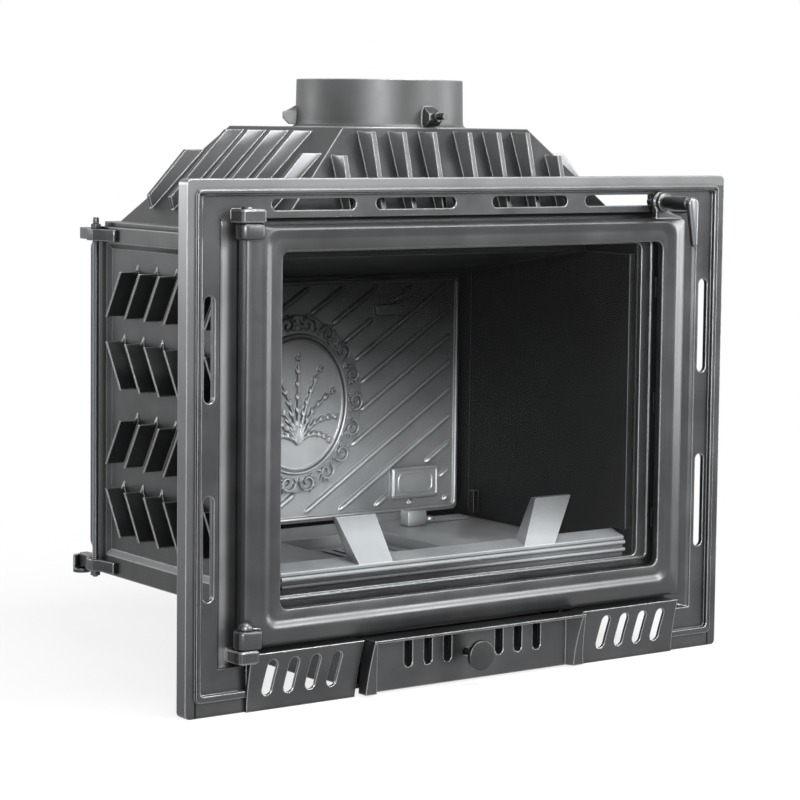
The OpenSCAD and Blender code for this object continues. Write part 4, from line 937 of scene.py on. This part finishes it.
@dataclass
class BackLining(Assembly):
    """Rear fireback plate: slanting ribs, a framed oval with scrolls, and a bare plate."""

    half_width: float = 259.0
    foot: float = 133.0
    top: float = 447.0
    face: float = 372.0
    back: float = 382.0
    bead_inset: float = 5.5
    leg_x: float = 150.0
    leg_half: float = 20.0
    leg_foot: float = 102.0
    pad_x: float = 180.0
    pad_heights: Flat = (160.0, 393.0)
    pad_half: float = 15.0
    pad_back: float = 387.0
    rib_pitch: float = 30.0
    rib_deg: float = 33.0
    rib_width: float = 7.6
    rib_height: float = 4.0
    rib_shift: float = -6.0
    rib_step: float = 4.0
    rib_margin: float = 12.0
    centre: Flat = (0.0, 287.0)
    oval: Flat = (74.0, 88.0)
    frame_out: Flat = (100.0, 114.0)
    lobes: int = 22
    ground: float = 3.0
    field_front: float = 4.2
    plate: Tuple[float, float, float, float] = (148.0, 224.0, 153.0, 195.0)
    tab: Tuple[float, float, float, float] = (120.0, 168.0, 396.0, 410.0)
    scrolls: int = 9
    # How far the spray's foot lies under the oval's centre
    spray_drop: float = 52.0

    # Lean in radians and length of the spray's stems
    STEMS = ((0.0, 108.0), (0.28, 98.0), (0.55, 82.0), (0.85, 64.0), (1.2, 46.0))

    def build(self) -> None:
        """Makes the lining in place of its solid."""
        mould = Moulder()
        self.add_plate(mould)
        self.add_ribs(mould)
        self.add_oval(mould)
        for side in (-1, 1):
            self.add_scrolls(mould, side)
        self.add_spray(mould)
        self.put_in_place(mould.piece("fireback_lining", 40.0), "back_lining", "stove",
                          Finish.LINING_IRON)

    def add_plate(self, mould: Moulder) -> None:
        """Adds the plate with its legs, pads, edge bead, bare plate and tab.

        Args:
            mould: Mould that gets them.
        """
        def inset(amount: float, radius: float) -> List[Flat]:
            """Gives the plate's outline, set in by an amount."""
            return round_outline(-self.half_width + amount, self.half_width - amount,
                                 self.foot + amount, self.top - amount, radius)

        mould.slab([(self.face + y, inset(amount, 8 - amount / 2))
                    for y, amount in ((10, 0.0), (1.2, 0.0), (0.4, 0.4), (0.0, 1.4))])
        mould.bead(inset(self.bead_inset, 7), 6.0, 3.6, self.face, closed=True)
        half = self.leg_half
        for x in (-self.leg_x, self.leg_x):
            mould.slab([(y, round_outline(x - half, x + half, self.leg_foot, self.foot + 2, 1.0))
                        for y in (self.face + 0.2, self.back)])
        half = self.pad_half
        for x in (-self.pad_x, self.pad_x):
            for z in self.pad_heights:
                mould.slab([(y, round_outline(x - half, x + half, z - half, z + half, 2.0))
                            for y in (self.back - 1, self.pad_back)])
        for (left, right, low, high), height, radius in ((self.plate, 6.0, 4.0), (self.tab, 7.0, 2.0)):
            mould.slab([(self.face - y, round_outline(left + i, right - i, low + i, high - i, radius))
                        for y, i in ((-1, 0.0), (height - 1.2, 0.4), (height - 0.3, 1.0), (height, 2.2))])
        left, right, low, high = self.plate
        for across, up, radius, width, height in ((3.6, 3.6, 3.0, 3.0, 1.4), (11, 9, 8.0, 2.2, 1.2)):
            mould.bead(round_outline(left + across, right - across, low + up, high - up, radius),
                       width, height, self.face - 6.0, closed=True)

    def rib_is_free(self, x: float, z: float) -> bool:
        """Says whether a rib may pass through a point of the plate.

        Args:
            x: How far the point lies to the right.
            z: Its height.

        Returns:
            Whether nothing else stands there.
        """
        margin = self.rib_margin
        if abs(x) > self.half_width - margin or not self.foot + margin < z < self.top - margin:
            return False
        if math.hypot(x / self.frame_out[0], (z - self.centre[1]) / self.frame_out[1]) < 1.0:
            return False
        return not any(left - 2 < x < right + 2 and low - 2 < z < high + 2
                       for left, right, low, high in (self.plate, self.tab))

    def add_ribs(self, mould: Moulder) -> None:
        """Adds the slanting ribs where nothing else stands on the plate.

        Args:
            mould: Mould that gets the ribs.
        """
        angle = math.radians(self.rib_deg)
        along, across = (math.cos(angle), math.sin(angle)), (-math.sin(angle), math.cos(angle))
        for row in range(-10, 11):
            offset = row * self.rib_pitch + self.rib_shift
            run: List[Flat] = []
            for step in range(-90, 91):
                reach = self.rib_step * step
                x = self.centre[0] + offset * across[0] + reach * along[0]
                z = self.centre[1] + offset * across[1] + reach * along[1]
                if self.rib_is_free(x, z):
                    run.append((x, z))
                    continue
                # A run of two points would be too short to see
                if len(run) > 2:
                    mould.bead(run, self.rib_width, self.rib_height, self.face)
                run = []

    def on_oval(self, size: Flat, angle: float, wider: float = 0.0) -> Flat:
        """Gives the point of an oval round the centre at an angle from the right."""
        return (self.centre[0] + (size[0] + wider) * math.cos(angle),
                self.centre[1] + (size[1] + wider) * math.sin(angle))

    def add_oval(self, mould: Moulder) -> None:
        """Adds the scalloped ground, the sunk field and the two rims of the oval.

        Args:
            mould: Mould that gets them.
        """
        turn = full_turn(180)

        def scalloped(inset: float) -> List[Flat]:
            """Gives the scalloped edge, set in by an amount."""
            return [self.on_oval(self.frame_out, a, 2.6 * abs(math.sin(self.lobes / 2 * a)) - 2.6 - inset)
                    for a in turn]

        mould.slab([(self.face - y, scalloped(i)) for y, i in ((-1, 0), (2.0, 0), (2.8, 0.6), (3.2, 2.0))])
        mould.slab([(self.face - y, [self.on_oval(self.oval, a, -inset) for a in turn])
                    for y, inset in ((self.ground, 4.0), (4.4, 5.0))])
        for inset, width, height in ((0.0, 5.0, 4.6), (5.0, 2.2, 3.0)):
            mould.bead([self.on_oval(self.oval, a, -inset) for a in turn], width, height,
                       self.face - self.ground, closed=True)

    @staticmethod
    def leaf_path(start: Flat, heading: float, bend: float, reaches: Sequence[float]) -> List[Flat]:
        """Gives a path that turns a little with every millimetre.

        Args:
            start: Where the leaf grows from.
            heading: Angle from the right in which it sets out.
            bend: Radians that it turns by with every millimetre.
            reaches: Distances of its points from the start.

        Returns:
            The points of the path.
        """
        return [(start[0] + r * math.cos(heading + bend * r), start[1] + r * math.sin(heading + bend * r))
                for r in reaches]

    def add_scrolls(self, mould: Moulder, side: int) -> None:
        """Adds a row of scrolls and leaf sprigs down one side of the oval's border.

        Args:
            mould: Mould that gets them.
            side: 1 for the right and -1 for the left.
        """
        base_y = self.face - self.ground
        middle = tuple((a + b) / 2 + 1.0 for a, b in zip(self.oval, self.frame_out))
        for i in range(self.scrolls):
            angle = math.pi / 2 - math.pi * (i + 0.5) / self.scrolls
            spot = self.on_oval(middle, angle)
            out = math.atan2(math.sin(angle) / middle[1], math.cos(angle) / middle[0])
            hand = 1 if i % 2 else -1
            path = []
            for k in range(30):
                t = k / 29
                reach = 10.5 * (1 - t) ** 0.8 + 1.0
                a = out + hand * (1.9 - 2.5 * math.pi * t)
                path.append((side * (spot[0] + reach * math.cos(a)), spot[1] + reach * math.sin(a)))
            mould.bead(path, 4.0, 6.0, base_y, taper=0.4)
            for k in range(5):
                a = out + hand * (0.5 * k - 2.4)
                start = (spot[0] + 7.5 * math.cos(a), spot[1] + 7.5 * math.sin(a))
                leaf = self.leaf_path(start, a, 0.05 * hand, (0, 2, 4, 6, 8.5))
                mould.bead([(side * x, z) for x, z in leaf], 4.2, 5.2, base_y, taper=0.7)
        sprigs = self.scrolls * 3
        for i in range(sprigs):
            angle = math.pi / 2 - math.pi * (i + 0.5) / sprigs
            base = self.on_oval(self.oval, angle, 6.5)
            tip = self.on_oval(self.oval, angle + (0.07 if i % 2 else -0.05), 13.0)
            mould.bead([(side * (base[0] + (tip[0] - base[0]) * t), base[1] + (tip[1] - base[1]) * t)
                        for t in (0, 0.3, 0.6, 1.0)], 3.4, 4.6, base_y, taper=0.6)

    def add_spray(self, mould: Moulder) -> None:
        """Adds a plain spray of leaves and a few stems inside the oval.

        Args:
            mould: Mould that gets the spray.
        """
        base_y = self.face - self.field_front
        root = (self.centre[0], self.centre[1] - self.spray_drop)
        for side in (-1, 1):
            # The upright stem is added once
            for lean, length in self.STEMS if side > 0 else self.STEMS[1:]:
                stem = []
                for j in range(14):
                    t = j / 13
                    bend = side * lean * (0.45 + 0.75 * t)
                    stem.append((root[0] + length * t * math.sin(bend),
                                 root[1] + length * t * math.cos(bend)))
                mould.bead(stem, 5.0, 5.0, base_y, taper=0.4)
                for (x, z), before in zip(stem[3::2], stem[2::2]):
                    heading = math.atan2(z - before[1], x - before[0])
                    for hand in (-1, 1):
                        leaf = self.leaf_path((x, z), heading + hand * 0.75, -0.05 * hand,
                                              (0, 2.2, 4.6, 7.0, 9.5))
                        mould.bead(leaf, 6.0, 4.4, base_y, taper=0.6)


@dataclass
class RopeSeal(Assembly):
    """Twisted glass-fibre rope in the channel behind the door's rim."""

    half_width: float = 302.5
    low: float = 84.5
    high: float = 522.0
    turn: float = 10.0
    middle_y: float = 3.9
    radius: float = 5.8
    strands: int = 4
    lay: float = 26.0
    step: float = 2.2
    around: int = 20

    def build(self) -> None:
        """Makes the rope in place of its solid."""
        path = self.even_path(round_outline(-self.half_width, self.half_width, self.low, self.high,
                                            self.turn, 6))
        total = len(path)
        turns = round(total * self.step / self.lay / self.strands)
        loops = []
        for i, (x, z) in enumerate(path):
            across = crossways(path[i - 1], path[(i + 1) % total])
            twist = 2 * math.pi * turns * i / total
            loop = []
            for angle in full_turn(self.around):
                groove = abs(math.cos(self.strands / 2 * (angle - twist)))
                r = self.radius * (0.8 + 0.2 * groove ** 0.7)
                loop.append((x + across[0] * r * math.cos(angle), self.middle_y + r * math.sin(angle),
                             z + across[1] * r * math.cos(angle)))
            loops.append(loop)
        mould = Moulder()
        mould.skin(loops, ring=True)
        self.put_in_place(mould.piece("rope_seal", 80.0), "door_gasket", "door", Finish.ROPE_SEAL)

    def even_path(self, outline: Sequence[Flat]) -> List[Flat]:
        """Walks along a closed outline in even steps.

        Args:
            outline: Corners of the outline.

        Returns:
            Its points, one step apart.
        """
        points, carried = [], 0.0
        for i, start in enumerate(outline):
            end = outline[(i + 1) % len(outline)]
            length = math.hypot(end[0] - start[0], end[1] - start[1])
            while carried < length:
                t = carried / length
                points.append((start[0] + (end[0] - start[0]) * t, start[1] + (end[1] - start[1]) * t))
                carried += self.step
            carried -= length
        return points


@dataclass
class LatchLever(Assembly):
    """Forged lever that hangs from the spindle's front end, swung a little to the right."""

    axis: Flat = (276.7, 554.0)
    front: float = -67.3
    thickness: float = 9.0
    length: float = 48.0
    top_radius: float = 8.0
    tip_radius: float = 3.6
    swing: float = 0.073

    # Inset and depth of each line of the rounded edge
    EDGE = ((3.4, 0.0), (2.2, 0.35), (1.0, 1.1), (0.3, 2.2), (0.0, 3.6))

    def outline(self, inset: float) -> List[Flat]:
        """Gives the lever's outline, set in by an amount.

        Args:
            inset: How far it lies inside the full outline.

        Returns:
            The outline's points, anticlockwise.
        """
        lean = math.asin((self.top_radius - self.tip_radius) / self.length)
        cos, sin = math.cos(self.swing), math.sin(self.swing)
        points = []
        for start, sweep, radius, drop in (
                (-lean, math.pi + 2 * lean, self.top_radius, 0.0),
                (math.pi + lean, math.pi - 2 * lean, self.tip_radius, self.length)):
            for i in range(17):
                a = start + sweep * i / 16
                x, z = (radius - inset) * math.cos(a), (radius - inset) * math.sin(a) - drop
                points.append((self.axis[0] + x * cos - z * sin, self.axis[1] + x * sin + z * cos))
        return points

    def build(self) -> None:
        """Makes the lever in place of its solid."""
        mould = Moulder()
        back = self.front + self.thickness
        mould.slab([(self.front + depth, self.outline(inset)) for inset, depth in self.EDGE]
                   + [(back - depth, self.outline(inset)) for inset, depth in reversed(self.EDGE)])
        self.put_in_place(mould.piece("latch_lever", 60.0), "handle_lever", "latch", Finish.LEVER_STEEL)


@dataclass
class TieRods(Assembly):
    """Two threaded rods that hold the firebox between its brackets."""

    across: float = 279.0
    behind: float = 390.0
    low: float = 89.0
    high: float = 528.0
    radius: float = 4.0
    root_depth: float = 0.45
    # The real thread has a pitch of 1.25 mm and is drawn coarser so that it shows
    pitch: float = 2.5

    def build(self) -> None:
        """Makes the rods in place of their solids."""
        mould = Moulder()
        turns = int((self.high - self.low - 2) / self.pitch)
        root, end = self.radius - self.root_depth, self.radius - 2 * self.root_depth
        for side in (-1, 1):
            profile = [(end, self.low)]
            for i in range(turns):
                z = self.low + 1 + i * self.pitch
                profile += [(root, z), (self.radius, z + self.pitch / 2)]
            profile += [(root, self.high - 1), (end, self.high)]
            mould.turned((side * self.across, self.behind, 0), "z", profile, steps=14)
        self.put_in_place(mould.piece("threaded_rods", 25.0), "tie_rods", "stove", Finish.BOLT_STEEL)


@dataclass
class SoftEdges(Assembly):
    """Castings and pressings whose edges are rounded as a sand mould leaves them."""

    # Radius of the edges, body and finish of each solid that is copied
    RADII = {
        "brackets_upper": (2.4, "stove", Finish.BODY_IRON),
        "brackets_lower": (2.0, "stove", Finish.BODY_IRON),
        "log_guard": (1.4, "stove", Finish.BURNT_IRON),
        "ribbed_sill": (0.5, "stove", Finish.BURNT_IRON),
        "lining_cleat": (1.2, "stove", Finish.LINING_IRON),
        "register_knob": (1.6, "register", Finish.KNOB_IRON),
        "hinge_pin_upper": (0.8, "stove", Finish.BOLT_STEEL),
        "tie_rod_nuts": (0.6, "stove", Finish.BOLT_STEEL),
    }

    def build(self, frame: Dict[str, Any]) -> None:
        """Makes a rounded copy in place of each solid.
        """
        for name, (radius, body, finish) in self.RADII.items():
            source = frame["nodes"][name]
            made = bmesh.new()
            made.from_mesh(source.data)
            bmesh.ops.remove_doubles(made, verts=made.verts, dist=0.01 * MM)
            bmesh.ops.dissolve_limit(made, angle_limit=math.radians(1.0), verts=made.verts,
                                     edges=made.edges)
            sharp = [edge for edge in made.edges
                     if len(edge.link_faces) == 2 and edge.calc_face_angle(0.0) > math.radians(30)]
            bmesh.ops.bevel(made, geom=sharp, offset=radius * MM, offset_type="OFFSET", segments=3,
                            profile=0.5, affect="EDGES", clamp_overlap=True)
            mesh = bpy.data.meshes.new("rounded_" + name)
            made.to_mesh(mesh)
            made.free()
            piece = add_piece("rounded_" + name, mesh, 40.0)
            piece.matrix_world = source.matrix_world.copy()
            self.put_in_place(piece, name, body, finish)
            LOG.info("rounded %s by %.1f mm", name, radius)


@dataclass
class CastFrame:
    """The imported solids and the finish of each."""

    finishes: FinishBook

    def dress(self, frame: Dict[str, Any]) -> None:
        """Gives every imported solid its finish.
        """
        slots = {part["node"]: part["material_slot"] for part in frame["record"]["subparts"]}
        for name, node in frame["nodes"].items():
            finish = Finish.COLLAR_IRON if name == "flue_collar" else Finish(slots[name])
            self.finishes.dress(node, finish)
            LOG.info("dressed %s in %s", name, finish.value)


def main() -> None:
    """Builds the insert and its studio and reports each piece."""
    logging.basicConfig(level=logging.INFO, format="%(message)s")
    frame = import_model()
    finishes = FinishBook()
    Studio().build()
    CastFrame(finishes).dress(frame)
    for kind in (DoorCasting, BackLining, RopeSeal, LatchLever, TieRods):
        kind(finishes).build()
        LOG.info("built %s", kind.__name__)
    SoftEdges(finishes).build(frame)


if __name__ == "__main__":
    main()
